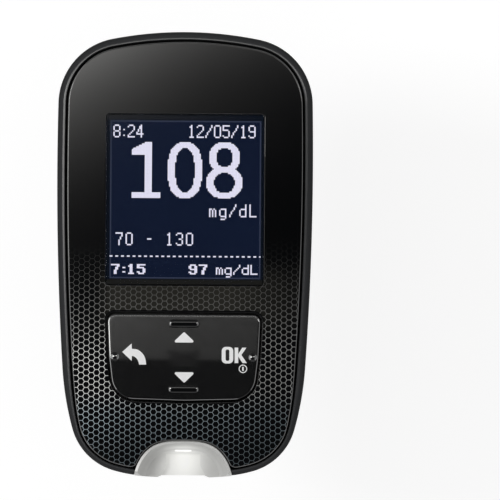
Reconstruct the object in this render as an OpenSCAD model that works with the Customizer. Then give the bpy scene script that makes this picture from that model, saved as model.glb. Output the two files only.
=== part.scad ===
// Handheld blood glucose meter, lying on its back.
// The display faces +Z, the display end is +Y, and the strip port is at -Y.
// Sizes are in millimetres.

/* [Case outline] */
// Width across the case, along X
case_width = 46.3; // [42:0.1:52]
// Radius of the gently bowed top edge
top_edge_radius = 67.9; // [50:0.1:90]
// Angle the top edge turns through on each side
top_edge_turn = 11.35; // [8:0.05:14]
// Radius of the two top corners
top_corner_radius = 12.03; // [10:0.01:14]
// Angle each top corner turns through
top_corner_turn = 77.43; // [72:0.01:80]
// Radius of the long sides
side_radius = 555.9; // [300:0.1:900]
// Angle each long side turns through
side_turn = 4.94; // [3:0.01:7]
// Radius where the sides draw in towards the foot
waist_radius = 54.2; // [40:0.1:70]
// Angle that part turns through
waist_turn = 11.9; // [8:0.1:15]
// Radius of the two foot corners
foot_corner_radius = 10.81; // [9:0.01:13]
// Angle each foot corner turns through
foot_corner_turn = 58.01; // [52:0.01:62]
// Radius of the foot beside the strip port
foot_edge_radius = 24.9; // [15:0.1:40]
// Angle the foot turns through there
foot_edge_turn = 12.37; // [8:0.01:15]

/* [Lengths from the display end to the foot] */
// Case above the display window
top_margin = 14.79; // [13:0.01:17]
// Case between the window and the key
middle_margin = 5.11; // [4.5:0.01:6.5]
// Length of the key
key_length = 15.67; // [14:0.01:18]
// Case between the key and the strip port
foot_margin = 7.21; // [6.4:0.01:9]

/* [Case heights] */
// Height of the joint between the two case halves
seam_height = 9; // [7:0.1:10]
// Height of the visible joint gap
seam_gap = 0.15; // [0.1:0.01:0.3]
// Height of the shelf that carries the cover
shelf_height = 17.05; // [15:0.01:19]
// Thickness of the shelf
shelf_thickness = 1.15; // [0.8:0.01:1.4]
// Thickness of the film that bonds the cover to the shelf
adhesive_thickness = 0.15; // [0.1:0.01:0.2]
// Inset of that film from the lens
adhesive_inset = 0.8; // [0.6:0.05:1]
// Thickness of the cover
cover_thickness = 2; // [1.7:0.01:2.4]
// How far the rim's crest sits below the cover's face
rim_drop = 0.45; // [0.2:0.01:0.8]
// Room between the board and the shelf
board_room = 2.9; // [2.5:0.01:3.3]
// Thickness of the case wall
wall_thickness = 1.65; // [1.4:0.01:2]
// Height of the lip that joins the halves
lip_height = 1; // [0.6:0.05:1.5]
// Inset of the lip's outer side
lip_inset = 0.85; // [0.7:0.01:1]
// Clearance between the lip and the bezel
lip_clearance = 0.05; // [0.03:0.01:0.1]
// Inset of the flat the meter lies on
rest_inset = 7.5; // [6:0.1:9]
// Thickness of the rear floor
floor_thickness = 1.9; // [1.5:0.1:2.4]

/* [Rim and cover edge] */
// Inset of the rim's crest from the outline
rim_inset = 1.27; // [1:0.01:1.5]
// Inset of the groove's outer wall
groove_inset = 1.62; // [1.5:0.01:1.8]
// Inset of the cover's side
cover_inset = 1.95; // [1.8:0.01:2.2]
// Width of the bevel round the cover
cover_bevel = 0.25; // [0.1:0.01:0.4]
// How much of those insets is left at the foot
foot_ratio = 0.72; // [0.6:0.01:1]
// Where the insets start to narrow, along Y
narrow_start = -21; // [-25:0.5:-15]
// Where they stop narrowing, along Y
narrow_end = -35; // [-38:0.5:-30]

/* [Display] */
// Width of the window opening
window_width = 28.75; // [26:0.01:30]
// Length of the window opening
window_length = 31.18; // [29:0.01:33]
// Corner radius of the window opening
window_corner = 0.7; // [0.5:0.05:1.5]
// Gap round the pane
window_gap = 0.15; // [0.1:0.01:0.25]
// How far the pane's face sits below the cover
window_recess = 0.12; // [0.05:0.01:0.3]
// Width of the pane's hidden flange
window_flange = 1.15; // [0.8:0.01:1.4]
// Thickness of that flange
window_flange_thickness = 0.9; // [0.6:0.01:1.1]
// Thickness of the foam gasket
gasket_thickness = 0.25; // [0.2:0.01:0.4]
// Width of the foam gasket's band
gasket_band = 1.2; // [0.8:0.1:1.3]
// How far the display glass sits above the window's centre
glass_shift = 0.68; // [0.3:0.01:1]
// How far the glass reaches past the window on each side
glass_side_margin = 1.425; // [1.2:0.005:1.6]
// How far the rear glass reaches past the window at each end
glass_end_margin = 2.51; // [2.2:0.01:2.8]
// Thickness of each display glass
glass_thickness = 0.7; // [0.5:0.01:0.9]
// Width of the ledge that the flex cable is bonded to
glass_ledge = 3; // [2:0.1:4]
// Thickness of the polariser film
film_thickness = 0.2; // [0.15:0.01:0.3]
// Inset of the polariser film from the glass
film_inset = 0.4; // [0.2:0.05:0.6]
// Gap round the display glass in its frame
glass_gap = 0.4; // [0.3:0.01:0.6]
// Gap between the backlight and the glass
backlight_gap = 0.1; // [0.05:0.01:0.2]
// Thickness of the frame's wall round the display
chassis_wall = 1.2; // [1:0.05:1.4]
// Height of the frame round the key's mat
low_frame_height = 1.6; // [1.3:0.05:1.9]
// Wall of the frame round the key's mat
low_frame_wall = 1.8; // [1.75:0.01:1.85]
// Gap between the display's frame and the shelf
shelf_gap = 0.2; // [0.1:0.01:0.3]
// Corner radius of the display's pocket
pocket_corner = 0.5; // [0.3:0.05:0.8]
// Width of the flex cable
flex_width = 10; // [8:0.1:11]
// Length of the relief for the flex cable
flex_relief = 4; // [3.5:0.1:4.2]
// Distance of the flex cable from the middle
flex_reach = 9.2; // [9:0.1:10]
// Thickness of the flex cable
flex_thickness = 0.15; // [0.1:0.01:0.2]

/* [Rocker key] */
// Half width of the key at its top
key_top_reach = 13.87; // [13:0.01:14.5]
// Half width of the key at its middle
key_middle_reach = 13.5; // [12.8:0.01:14]
// Half width of the key at its foot corners
key_foot_reach = 12.6; // [12:0.01:13]
// Radius of the key's top corners
key_top_corner = 1.4; // [1:0.1:2.5]
// Radius of the key's foot corners
key_foot_corner = 4.2; // [3:0.1:5]
// Radius of the bend in the key's sides
key_side_bend = 25; // [15:0.5:35]
// Radius of the bow along the key's foot
key_foot_bend = 40; // [25:0.5:60]
// How far that bow drops below the foot corners
key_foot_bow = 0.35; // [0.1:0.01:0.6]
// How far the key's face stands above the cover
key_rise = 0.3; // [0.1:0.01:0.5]
// Bevel round the key's face
key_bevel = 0.25; // [0.1:0.01:0.4]
// Thickness of the key's top wall
key_wall = 1.6; // [1.2:0.1:1.7]
// Thickness of the key's side wall
key_side_wall = 1; // [0.8:0.1:1.4]
// Gap between key and cover
key_gap = 0.5; // [0.4:0.01:0.6]
// Reach of the flange that keeps the key in
key_flange = 0.8; // [0.5:0.01:1]
// Thickness of that flange
key_flange_thickness = 0.7; // [0.5:0.01:0.9]
// How far the flange's underside lies below the tipping point
key_flange_drop = 0.2; // [0.1:0.05:0.3]
// Height of the raised bars and dots
bar_rise = 0.45; // [0.3:0.01:0.5]
// Length of each raised bar
bar_length = 5.6; // [4:0.1:7]
// Width of each raised bar
bar_width = 1.5; // [1:0.1:2]
// Distance of the upper bar from the key's top edge
upper_bar_inset = 1.68; // [1.4:0.01:2.2]
// Distance of the lower bar from the key's foot
lower_bar_inset = 2.12; // [1.8:0.01:2.5]
// Distance of the raised dots from the key's sides
dot_inset = 1.05; // [1:0.01:1.3]
// Radius of a raised dot at its foot
dot_radius = 0.85; // [0.6:0.01:0.9]
// How far the point the key tips about lies below the cover
pivot_depth = 1.2; // [1:0.05:1.4]
// How far that point lies above the key's middle, along Y
pivot_shift = 0.115; // [0:0.005:0.3]
// Radius of the yoke's four journals
journal_radius = 0.6; // [0.5:0.01:0.8]
// Running clearance round a journal
journal_clearance = 0.05; // [0.03:0.01:0.1]
// Length of the yoke's block, along X
yoke_length = 6; // [5:0.1:6.5]
// Thickness of the yoke's block
yoke_thickness = 1.5; // [1.2:0.1:1.6]
// Thickness of each bearing ear
ear_thickness = 1; // [0.8:0.1:1.2]
// Width of each bearing ear
ear_width = 2.8; // [2.2:0.1:3]
// Gap between the yoke and each ear
ear_gap = 0.25; // [0.15:0.01:0.35]
// Radius of a mat column
column_radius = 1.4; // [1.2:0.05:1.6]
// Height of a mat column above the board
column_rise = 3.5; // [3.2:0.05:3.8]
// Gap between a column and the key's side wall
column_wall_gap = 0.32; // [0.2:0.01:0.5]
// Gap between a column and the key's ears
column_ear_gap = 0.35; // [0.2:0.01:0.5]
// Free travel between a column and the key's plunger
press_travel = 0.55; // [0.5:0.01:0.7]
// Radius of the key's plungers
plunger_radius = 1; // [0.8:0.05:1.2]
// Thickness of the mat's sheet
mat_thickness = 0.6; // [0.5:0.05:0.7]
// Inset of the mat's sheet from the key's outline
mat_inset = 0.6; // [0.4:0.05:0.8]
// Radius of a key dome
dome_radius = 1.2; // [1:0.05:1.3]
// Height of a key dome
dome_height = 0.3; // [0.2:0.01:0.35]

/* [Strip port] */
// Half width of the lens
lens_reach = 8.8; // [8:0.01:9.5]
// Length of the lens from its centre line to its top
lens_depth = 5.86; // [5:0.01:6.5]
// Roundness of the lens, 2 is an ellipse
lens_power = 2.3; // [2:0.05:3]
// Distance of the lens's centre line from the foot
lens_setback = 0.78; // [0.5:0.01:1]
// How far the lens's rim sits below the cover's face
lens_drop = 0.2; // [0.1:0.01:0.5]
// How far the lens reaches below the board
lens_underhang = 0.4; // [0.2:0.01:0.6]
// Radius of the lens's lower corners, seen from the foot
lens_corner = 2; // [1:0.1:2.5]
// Width of the lens's lip at its rim
lens_lip = 0.9; // [0.7:0.01:1.1]
// How far the lens stands out of the foot
lens_proud = 0.2; // [0.1:0.01:0.3]
// Gap between the lens and the case
lens_gap = 0.15; // [0.1:0.01:0.3]
// Gap between the lens and the cover
lens_cover_gap = 0.3; // [0.2:0.01:0.4]
// Height of the strip channel's floor above the board
channel_rise = 1.2; // [1:0.05:1.3]
// Depth of the strip channel in the scoop's floor
channel_depth = 0.75; // [0.6:0.01:0.9]
// Width of the strip channel
channel_width = 6.2; // [5.5:0.1:7]
// Width of the channel at its mouth
channel_mouth = 8; // [7:0.1:9]
// Distance from the foot to where the channel starts to flare
flare_start = 2.1; // [1.8:0.1:2.5]
// Distance from the foot to where the flare ends
flare_end = 0.7; // [0.4:0.1:1]
// Thickness of the lens that the slot passes through
slot_wall = 1.34; // [1:0.01:1.6]
// Height of the slot the strip goes into
slot_height = 0.8; // [0.6:0.05:0.9]
// Width of the strip connector
connector_width = 10.4; // [9:0.1:12]
// Length of the strip connector, along Y
connector_length = 5; // [4.5:0.1:5.5]
// Height of the strip connector
connector_height = 2.8; // [2.4:0.1:2.85]
// Gap between the strip connector and what stands round it
connector_gap = 0.3; // [0.2:0.01:0.4]
// Depth of the connector's slot
connector_slot_depth = 4; // [3:0.1:4.4]
// Width of each port light
light_width = 1.6; // [1.2:0.1:2]
// Length of each port light
light_length = 1; // [0.8:0.1:1.2]
// Height of each port light
light_height = 0.7; // [0.5:0.05:0.9]
// Width of one strip contact
contact_width = 0.8; // [0.6:0.05:1]
// Spacing of the strip contacts
contact_pitch = 1.9; // [1.6:0.05:2]
// Thickness of the strip contacts
contact_thickness = 0.15; // [0.1:0.01:0.2]

/* [Board] */
// Thickness of the board
board_thickness = 1; // [0.8:0.1:1.2]
// Inset of the board from the outline
board_inset = 2.3; // [2:0.1:3]
// Gap between the board and the lens
board_lens_gap = 0.46; // [0.3:0.01:0.6]
// Distance of the screws from the case's sides
screw_inset = 3.55; // [3.5:0.01:3.7]
// Distance of the upper screws from the display end
upper_screw_setback = 14.3; // [13.5:0.1:16]
// Distance of the lower screws below the window
lower_screw_drop = 2.93; // [2.5:0.01:3.3]
// Radius of a screw's shank
screw_radius = 0.62; // [0.5:0.01:0.7]
// Radius of a screw's head
screw_head_radius = 1.35; // [1.2:0.05:1.5]
// Height of a screw's head
screw_head_height = 0.8; // [0.6:0.05:1]
// Length of a screw's shank
screw_length = 3.5; // [3:0.1:3.6]
// Radial clearance round a screw in its boss
screw_clearance = 0.04; // [0.03:0.01:0.1]
// Radial clearance round a screw in the board
screw_board_clearance = 0.2; // [0.1:0.01:0.3]
// Radius of a screw boss
boss_radius = 1.65; // [1.5:0.05:1.8]
// Gap between a boss and the display's frame
boss_gap = 0.15; // [0.1:0.01:0.3]
// Size of the processor chip
processor_size = 7; // [5:0.5:9]
// Thickness of the processor chip
processor_thickness = 0.9; // [0.7:0.05:1.2]
// Distance of the chips from the middle
chip_reach = 6.6; // [6:0.1:7]
// Height of the memory chip and the crystal's can
can_height = 0.8; // [0.6:0.05:1]
// Length of a small board part
resistor_length = 1; // [0.8:0.1:1.2]
// Width of a small board part
resistor_width = 0.6; // [0.5:0.05:0.7]
// Height of a small board part
resistor_height = 0.5; // [0.3:0.05:0.7]
// Radius of the buzzer
buzzer_radius = 4.5; // [3.5:0.1:5]
// Height of the buzzer
buzzer_height = 2.4; // [1.8:0.1:2.6]
// Distance of the buzzer from the middle
buzzer_reach = 10.5; // [9:0.1:11.5]
// Distance of the buzzer from the display end
buzzer_setback = 12.3; // [11:0.1:14]

/* [Data port] */
// Outside width of the port's shell
port_width = 7.6; // [7.4:0.1:7.8]
// Outside height of the port's shell
port_height = 2.7; // [2.5:0.05:2.8]
// Length of the port's shell
port_length = 5.7; // [5:0.1:6]
// Thickness of the port's shell
port_wall = 0.3; // [0.2:0.01:0.35]
// Gap round the port in the bezel
port_gap = 0.2; // [0.15:0.01:0.3]
// Width of the port's tongue
tongue_width = 3.8; // [3.4:0.1:4.2]
// Thickness of the port's tongue
tongue_thickness = 0.6; // [0.5:0.05:0.7]
// How far the port's mouth sits inside the case end
port_recess = 0.5; // [0.2:0.1:1]

/* [Battery] */
// Radius of a coin cell
cell_radius = 10; // [9.9:0.05:10.1]
// Thickness of a coin cell
cell_thickness = 3.2; // [3:0.05:3.3]
// Gap between the two cells
cell_to_cell = 0.6; // [0.4:0.05:1]
// Gap between the cells and the door
cell_lift = 0.45; // [0.3:0.05:0.6]
// Middle of the battery box, along Y
battery_centre = -4; // [-6:0.1:-3]
// Gap round the cells in their pocket
cell_gap = 0.4; // [0.3:0.05:0.6]
// Room for the contacts above the cells
contact_room = 1.2; // [1.1:0.05:1.4]
// Thickness of that ceiling
ceiling_thickness = 1.2; // [1:0.1:1.5]
// How far the battery box reaches past the cells' pocket on each side
box_side_margin = 3; // [2.8:0.05:3.6]
// How far the battery box reaches past the pocket at each end
box_end_margin = 3.1; // [2.9:0.05:3.8]
// Corner radius of the battery box
box_corner = 3.5; // [3:0.1:4]
// How far the door reaches past the pocket on each side
door_side_margin = 1.6; // [1.4:0.05:1.9]
// How far the door reaches past the pocket at each end
door_end_margin = 2.3; // [2.1:0.05:2.6]
// Corner radius of the battery door
door_corner = 3; // [2:0.1:5]
// Height of the door's outer face
door_base = 0.15; // [0.1:0.01:0.3]
// Thickness of the battery door
door_thickness = 1.4; // [1.2:0.05:1.5]
// Gap round the battery door
door_gap = 0.25; // [0.2:0.01:0.35]
// Clearance between the door and its ledge
door_ledge_gap = 0.2; // [0.15:0.01:0.3]
// Distance of the two hooks from the middle
hook_reach = 7; // [6:0.1:9]
// Width of each hook
hook_width = 4; // [3:0.1:5]
// Thickness of each hook
hook_thickness = 0.9; // [0.7:0.05:1]
// How far each hook reaches past the door's edge
hook_overlap = 1.6; // [1.2:0.1:2]
// Height of the gap between each hook and the floor it holds
hook_gap = 0.3; // [0.2:0.01:0.4]
// Length of the passage each hook drops through
hook_passage = 3.5; // [3.3:0.1:3.6]
// Length of the room each hook swings in
hook_swing = 5.95; // [5.8:0.05:6.1]
// Width of the latch
latch_width = 8; // [6:0.1:10]
// Length of the latch
latch_length = 3.4; // [3:0.1:4]
// Gap round the latch
latch_gap = 0.3; // [0.2:0.01:0.4]
// Width of a battery contact
leaf_width = 3; // [2:0.1:4]
// Distance of a cell's centre contact's tail from the cell's centre
leaf_tail = 4.6; // [4:0.1:5]
// Thickness of a battery contact
leaf_thickness = 0.2; // [0.15:0.01:0.25]

/* [Rear label] */
// Width of the label
label_width = 22; // [18:0.1:24]
// Length of the label
label_length = 9; // [7:0.1:10]
// Corner radius of the label
label_corner = 1; // [0.5:0.1:2]
// Distance of the label's centre from the battery door
label_gap = 7.4; // [6.5:0.1:8]
// Depth of the recess for the label
label_recess = 0.3; // [0.2:0.01:0.4]
// Thickness of the label
label_thickness = 0.15; // [0.1:0.01:0.2]

/* [Hidden] */
// How far a cut runs past what it cuts
hidden_rise = 1;
// How far a joined piece sinks into what carries it
hidden_root = 0.2;

case_length = top_margin + window_length + middle_margin + key_length
    + foot_margin + lens_depth + lens_setback;
case_top = case_length / 2;
window_centre = case_top - top_margin - window_length / 2;
window_foot = window_centre - window_length / 2;
key_top = window_foot - middle_margin;
key_foot = key_top - key_length;
lens_top = key_foot - foot_margin;
lens_centre = lens_top - lens_depth;

shelf_base = shelf_height - shelf_thickness;
cover_base = shelf_height + adhesive_thickness;
cover_height = cover_base + cover_thickness;
rim_height = cover_height - rim_drop;
board_top = shelf_base - board_room;
board_base = board_top - board_thickness;
lens_height = cover_height - lens_drop;
lens_base = board_base - lens_underhang;
channel_floor = board_top + channel_rise;
scoop_floor = channel_floor + channel_depth;
pivot_height = cover_base - pivot_depth;
key_height = cover_height + key_rise;

turned_side = top_edge_turn + top_corner_turn;
turned_waist = turned_side + side_turn + waist_turn;
turned_foot = turned_waist + foot_corner_turn + foot_edge_turn;
// Each arc of the half outline: radius, angle turned, steps
outline_arcs = [
    [top_edge_radius, top_edge_turn, 3],
    [top_corner_radius, top_corner_turn, 14],
    [side_radius, side_turn, 4],
    [waist_radius, waist_turn, 4],
    [foot_corner_radius, foot_corner_turn, 11],
    [foot_edge_radius, foot_edge_turn, 3]
];
arc_count = len(outline_arcs);

function heading_at(i) = i == 0 ? 0 : heading_at(i - 1) + outline_arcs[i - 1][1];
function swing(radius, from, to) = radius * [sin(to) - sin(from), cos(to) - cos(from)];
function arc_start(i) = i == 0
    ? [0, 0]
    : arc_start(i - 1) + swing(outline_arcs[i - 1][0], heading_at(i - 1), heading_at(i));

foot_start = arc_start(arc_count);
foot_centre_radius = foot_start[0] / sin(180 - turned_foot);
foot_end = foot_start + swing(foot_centre_radius, turned_foot, 180);
// Points of the right half from the top middle to the foot middle, each with its heading
half_outline = concat(
    [for (i = [0 : arc_count - 1])
        for (k = [0 : outline_arcs[i][2] - 1])
            let (turn = heading_at(i) + outline_arcs[i][1] * k / outline_arcs[i][2])
                concat(arc_start(i) + swing(outline_arcs[i][0], heading_at(i), turn), turn)],
    [concat(foot_start, turned_foot)],
    [concat(foot_end, 180)]
);
half_count = len(half_outline);
raw_width = 2 * max([for (p = half_outline) p[0]]);
stretch_x = case_width / raw_width;
stretch_y = case_length / -foot_end[1];

function placed(p, side) = let (
        normal = [side * sin(p[2]) / stretch_x, cos(p[2]) / stretch_y]
    ) concat(
        [side * p[0] * stretch_x, case_length / 2 + p[1] * stretch_y],
        normal / norm(normal)
    );
outline = concat(
    [for (i = [0 : half_count - 1]) placed(half_outline[i], 1)],
    [for (i = [half_count - 2 : -1 : 1]) placed(half_outline[i], -1)]
);

function ease(t) = t * t * (3 - 2 * t);
function narrowing(y) = y > narrow_start ? 1
    : y < narrow_end ? foot_ratio
    : 1 - (1 - foot_ratio) * ease((narrow_start - y) / (narrow_start - narrow_end));
// One level of the case: the outline moved in by an inset, at a height
function level(inset, z) = [for (p = outline) [p[0] - p[2] * inset, p[1] - p[3] * inset, z]];
function rim_level(inset, z) = [for (p = outline)
    let (move = inset * narrowing(p[1])) [p[0] - p[2] * move, p[1] - p[3] * move, z]];
function flat(ring) = [for (p = ring) [p[0], p[1]]];

// Clockwise outline of a convex shape with rounded corners, grown outwards by a distance
function edge_normal(a, b) = let (d = (b - a) / norm(b - a)) [-d[1], d[0]];
function corner_arc(a, b, c, radius, grow, steps) = let (
        first = edge_normal(a, b),
        second = edge_normal(b, c),
        centre = b - radius * (first + second) / (1 + first * second),
        from = atan2(first[1], first[0]),
        drop = atan2(second[1], second[0]) - from,
        turn = drop > 0 ? drop - 360 : drop
    ) [for (k = [0 : steps]) let (t = from + turn * k / steps)
        centre + (radius + grow) * [cos(t), sin(t)]];
function rounded(corners, radii, grow = 0, steps = 6) = let (n = len(corners)) [
    for (i = [0 : n - 1])
        each corner_arc(
            corners[(i + n - 1) % n], corners[i], corners[(i + 1) % n], radii[i], grow, steps
        )
];
function box_corners(width, length, middle) = [
    [-width / 2, middle + length / 2],
    [width / 2, middle + length / 2],
    [width / 2, middle - length / 2],
    [-width / 2, middle - length / 2]
];
function rounded_box(width, length, middle, radius, grow = 0) =
    rounded(box_corners(width, length, middle), [radius, radius, radius, radius], grow);
function raised(points, z) = [for (p = points) [p[0], p[1], z]];

key_middle = (key_top + key_foot) / 2;
key_corners = [
    [-key_top_reach, key_top],
    [key_top_reach, key_top],
    [key_middle_reach, key_middle],
    [key_foot_reach, key_foot + key_foot_bow],
    [0, key_foot],
    [-key_foot_reach, key_foot + key_foot_bow],
    [-key_middle_reach, key_middle]
];
key_radii = [
    key_top_corner, key_top_corner, key_side_bend, key_foot_corner,
    key_foot_bend, key_foot_corner, key_side_bend
];
function key_outline(grow) = rounded(key_corners, key_radii, grow);

// Clockwise superellipse of the lens
function signed_power(v, e) = (v < 0 ? -1 : 1) * pow(abs(v), e);
function lens_outline(reach, depth, steps = 64) = [
    for (k = [0 : steps - 1]) let (t = 90 - 360 * k / steps) [
        reach * signed_power(cos(t), 2 / lens_power),
        lens_centre + depth * signed_power(sin(t), 2 / lens_power)
    ]
];

// Outline of a bent strip: its middle line, thickened
function unit(v) = v / norm(v);
function side_of(v) = [-v[1], v[0]];
function strip_normal(line, i) = let (
        n = len(line),
        before = i == 0 ? unit(line[1] - line[0]) : unit(line[i] - line[i - 1]),
        after = i == n - 1 ? before : unit(line[i + 1] - line[i]),
        sum = before + after
    ) side_of(sum) * 2 / (sum * sum);
function strip_outline(line, thickness) = concat(
    [for (i = [0 : len(line) - 1]) line[i] + strip_normal(line, i) * thickness / 2],
    [for (i = [len(line) - 1 : -1 : 0]) line[i] - strip_normal(line, i) * thickness / 2]
);

// One level of the lens's scoop, moved in across and in depth
function scoop_level(across, down, z) =
    raised(lens_outline(lens_reach - across, lens_depth - down), z);

// Solid through a stack of levels, closed at its first and last
module loft(levels) {
    count = len(levels[0]);
    points = [for (l = levels) each l];
    sides = [for (i = [0 : len(levels) - 2]) for (k = [0 : count - 1])
        [
            i * count + k,
            i * count + (k + 1) % count,
            (i + 1) * count + (k + 1) % count,
            (i + 1) * count + k
        ]];
    first = [for (k = [count - 1 : -1 : 0]) k];
    last = [for (k = [0 : count - 1]) (len(levels) - 1) * count + k];
    polyhedron(points, concat([first], sides, [last]));
}

module plate(points, base, top) {
    translate([0, 0, base])
        linear_extrude(top - base)
            polygon(points);
}

// A box given by its middle in X and Y, its size there, and its two heights
module block(middle, size, base, top) {
    translate([middle[0] - size[0] / 2, middle[1] - size[1] / 2, base])
        cube([size[0], size[1], top - base]);
}

module post(x, y, radius, base, top) {
    translate([x, y, base])
        cylinder(h = top - base, r = radius, $fn = 48);
}

module rod_x(x, y, z, radius, length) {
    translate([x - length / 2, y, z])
        rotate([0, 90, 0])
            cylinder(h = length, r = radius, $fn = 48);
}

module rod_y(x, y, z, radius, length) {
    translate([x, y + length / 2, z])
        rotate([90, 0, 0])
            cylinder(h = length, r = radius, $fn = 48);
}

// A bent strip drawn in the YZ plane, centred on an X
module strip_yz(line, thickness, x, width) {
    translate([x - width / 2, 0, 0])
        rotate([90, 0, 90])
            linear_extrude(width)
                polygon(strip_outline(line, thickness));
}

// A bent strip drawn in the XZ plane, centred on a Y
module strip_xz(line, thickness, y, width) {
    translate([0, y + width / 2, 0])
        rotate([90, 0, 0])
            linear_extrude(width)
                polygon(strip_outline(line, thickness));
}

// The lens's block before it is scooped out, grown by a gap
module lens_blank(grow) {
    half = lens_reach + grow - 0.05;
    rise = lens_height + 2 * hidden_rise - lens_base + grow;
    intersection() {
        plate(
            lens_outline(lens_reach + grow, lens_depth + grow),
            lens_base - grow,
            lens_height + hidden_rise
        );
        translate([0, lens_top + lens_depth, 0])
            rotate([90, 0, 0])
                linear_extrude(3 * lens_depth)
                    polygon(
                        rounded_box(2 * half, rise, lens_base - grow + rise / 2, lens_corner)
                    );
    }
}

screw_reach = case_width / 2 - screw_inset;
screw_upper = case_top - upper_screw_setback;
screw_lower = window_foot - lower_screw_drop;
screw_places = [
    [-screw_reach, screw_upper],
    [screw_reach, screw_upper],
    [-screw_reach, screw_lower],
    [screw_reach, screw_lower]
];
pivot_centre = key_middle + pivot_shift;
press_reach_x = key_middle_reach - key_side_wall - column_wall_gap - column_radius;
press_reach_y = key_top - pivot_centre - key_side_wall - column_wall_gap - column_radius;
press_places = [
    [0, pivot_centre + press_reach_y],
    [0, pivot_centre - press_reach_y],
    [-press_reach_x, pivot_centre],
    [press_reach_x, pivot_centre]
];
cell_spacing = 2 * cell_radius + cell_to_cell;
cell_centres = [battery_centre + cell_spacing / 2, battery_centre - cell_spacing / 2];
pane_width = window_width - 2 * window_gap;
pane_length = window_length - 2 * window_gap;
pane_top = cover_height - window_recess;
flange_top = cover_base + window_flange_thickness;
flange_width = pane_width + 2 * window_flange;
flange_length = pane_length + 2 * window_flange;
gasket_base = cover_base - gasket_thickness;
glass_top = gasket_base - film_thickness;
front_glass_base = glass_top - glass_thickness;
rear_glass_base = front_glass_base - glass_thickness;
glass_centre = window_centre + glass_shift;
glass_width = window_width + 2 * glass_side_margin;
glass_length = window_length + 2 * glass_end_margin;
front_glass_length = glass_length - glass_ledge;
front_glass_centre = glass_centre - glass_ledge / 2;
backlight_length = glass_length - film_inset;
chassis_top = shelf_base - shelf_gap;
glass_foot = glass_centre - glass_length / 2;
glass_end = glass_centre + glass_length / 2;
pocket_width = glass_width + 2 * glass_gap;
pocket_length = glass_length + 2 * glass_gap;
frame_width = pocket_width + 2 * chassis_wall;
frame_length = pocket_length + 2 * chassis_wall;
relief_middle = glass_end + flex_relief / 2 - 1;
upper_bar = key_top - upper_bar_inset;
lower_bar = key_foot + lower_bar_inset;
dot_reach = key_middle_reach - dot_inset;
// Radius of the ball that a raised dot is cut from
dot_ball = (dot_radius * dot_radius / bar_rise + bar_rise) / 2;
column_height = board_top + column_rise;
key_flange_base = pivot_height - key_flange_drop;
key_flange_top = key_flange_base + key_flange_thickness;
key_ceiling = key_height - key_wall;
key_room = key_flange + key_gap;
chassis_low_top = board_top + low_frame_height;
yoke_width = 2 * (press_reach_y - column_radius - column_ear_gap - ear_thickness - ear_gap);
journal_length = ear_gap + ear_thickness;
ear_x = yoke_length / 2 + ear_gap + ear_thickness / 2;
ear_y = yoke_width / 2 + ear_gap + ear_thickness / 2;
board_foot = lens_top + board_lens_gap;
connector_front = board_foot - 0.05;
connector_back = connector_front + connector_length;
connector_middle = connector_front + connector_length / 2;
connector_top = board_top + connector_height;
light_reach = connector_width / 2 + light_width + 0.1;
port_middle = case_top - port_recess - port_length / 2;
port_centre_height = board_top + port_height / 2;
pocket_radius = cell_radius + cell_gap;
pocket_span = cell_spacing + 2 * pocket_radius;
box_width = 2 * (pocket_radius + box_side_margin);
box_length = pocket_span + 2 * box_end_margin;
door_width = 2 * (pocket_radius + door_side_margin);
door_length = pocket_span + 2 * door_end_margin;
door_top = door_base + door_thickness;
ledge_height = door_top + door_ledge_gap;
door_upper_edge = battery_centre + door_length / 2;
door_lower_edge = battery_centre - door_length / 2;
hook_base = floor_thickness + hook_gap;
hook_top = hook_base + hook_thickness;
cell_base = door_top + cell_lift;
cell_top = cell_base + cell_thickness;
pocket_ceiling = cell_top + contact_room;
contact_side = pocket_radius + 0.85;
label_centre = door_upper_edge + label_gap;
// Outside of the rim from the seam to its crest: inset, and drop below the crest
rim_profile = [[0, 6.75], [0.05, 4.75], [0.2, 2.95], [0.45, 1.55], [0.78, 0.6], [1.1, 0.1]];
// Outside of the back from its rest to the seam: inset and height
back_profile = [[5, 0.7], [2.8, 2], [1.2, 4], [0.3, 6.5]];
// Inside of the back from its wall to its floor: inset past the wall, and height
inside_profile = [[0.25, 6.6], [1.25, 4.4], [2.75, 3], [4.75, 2.15]];
// Foot face of the lens: how far it leans in, and height above the board
lens_lean = [[0, 0.5], [0.05, 2.5], [0.25, 4.2], [0.55, 5.4]];
// Scoop from its floor to the rim: inset across, inset in depth, and rise above the floor
scoop_profile = [[2.2, 1.85, 0], [1.95, 1.62, 0.15], [1.45, 1.2, 0.95]];

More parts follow.
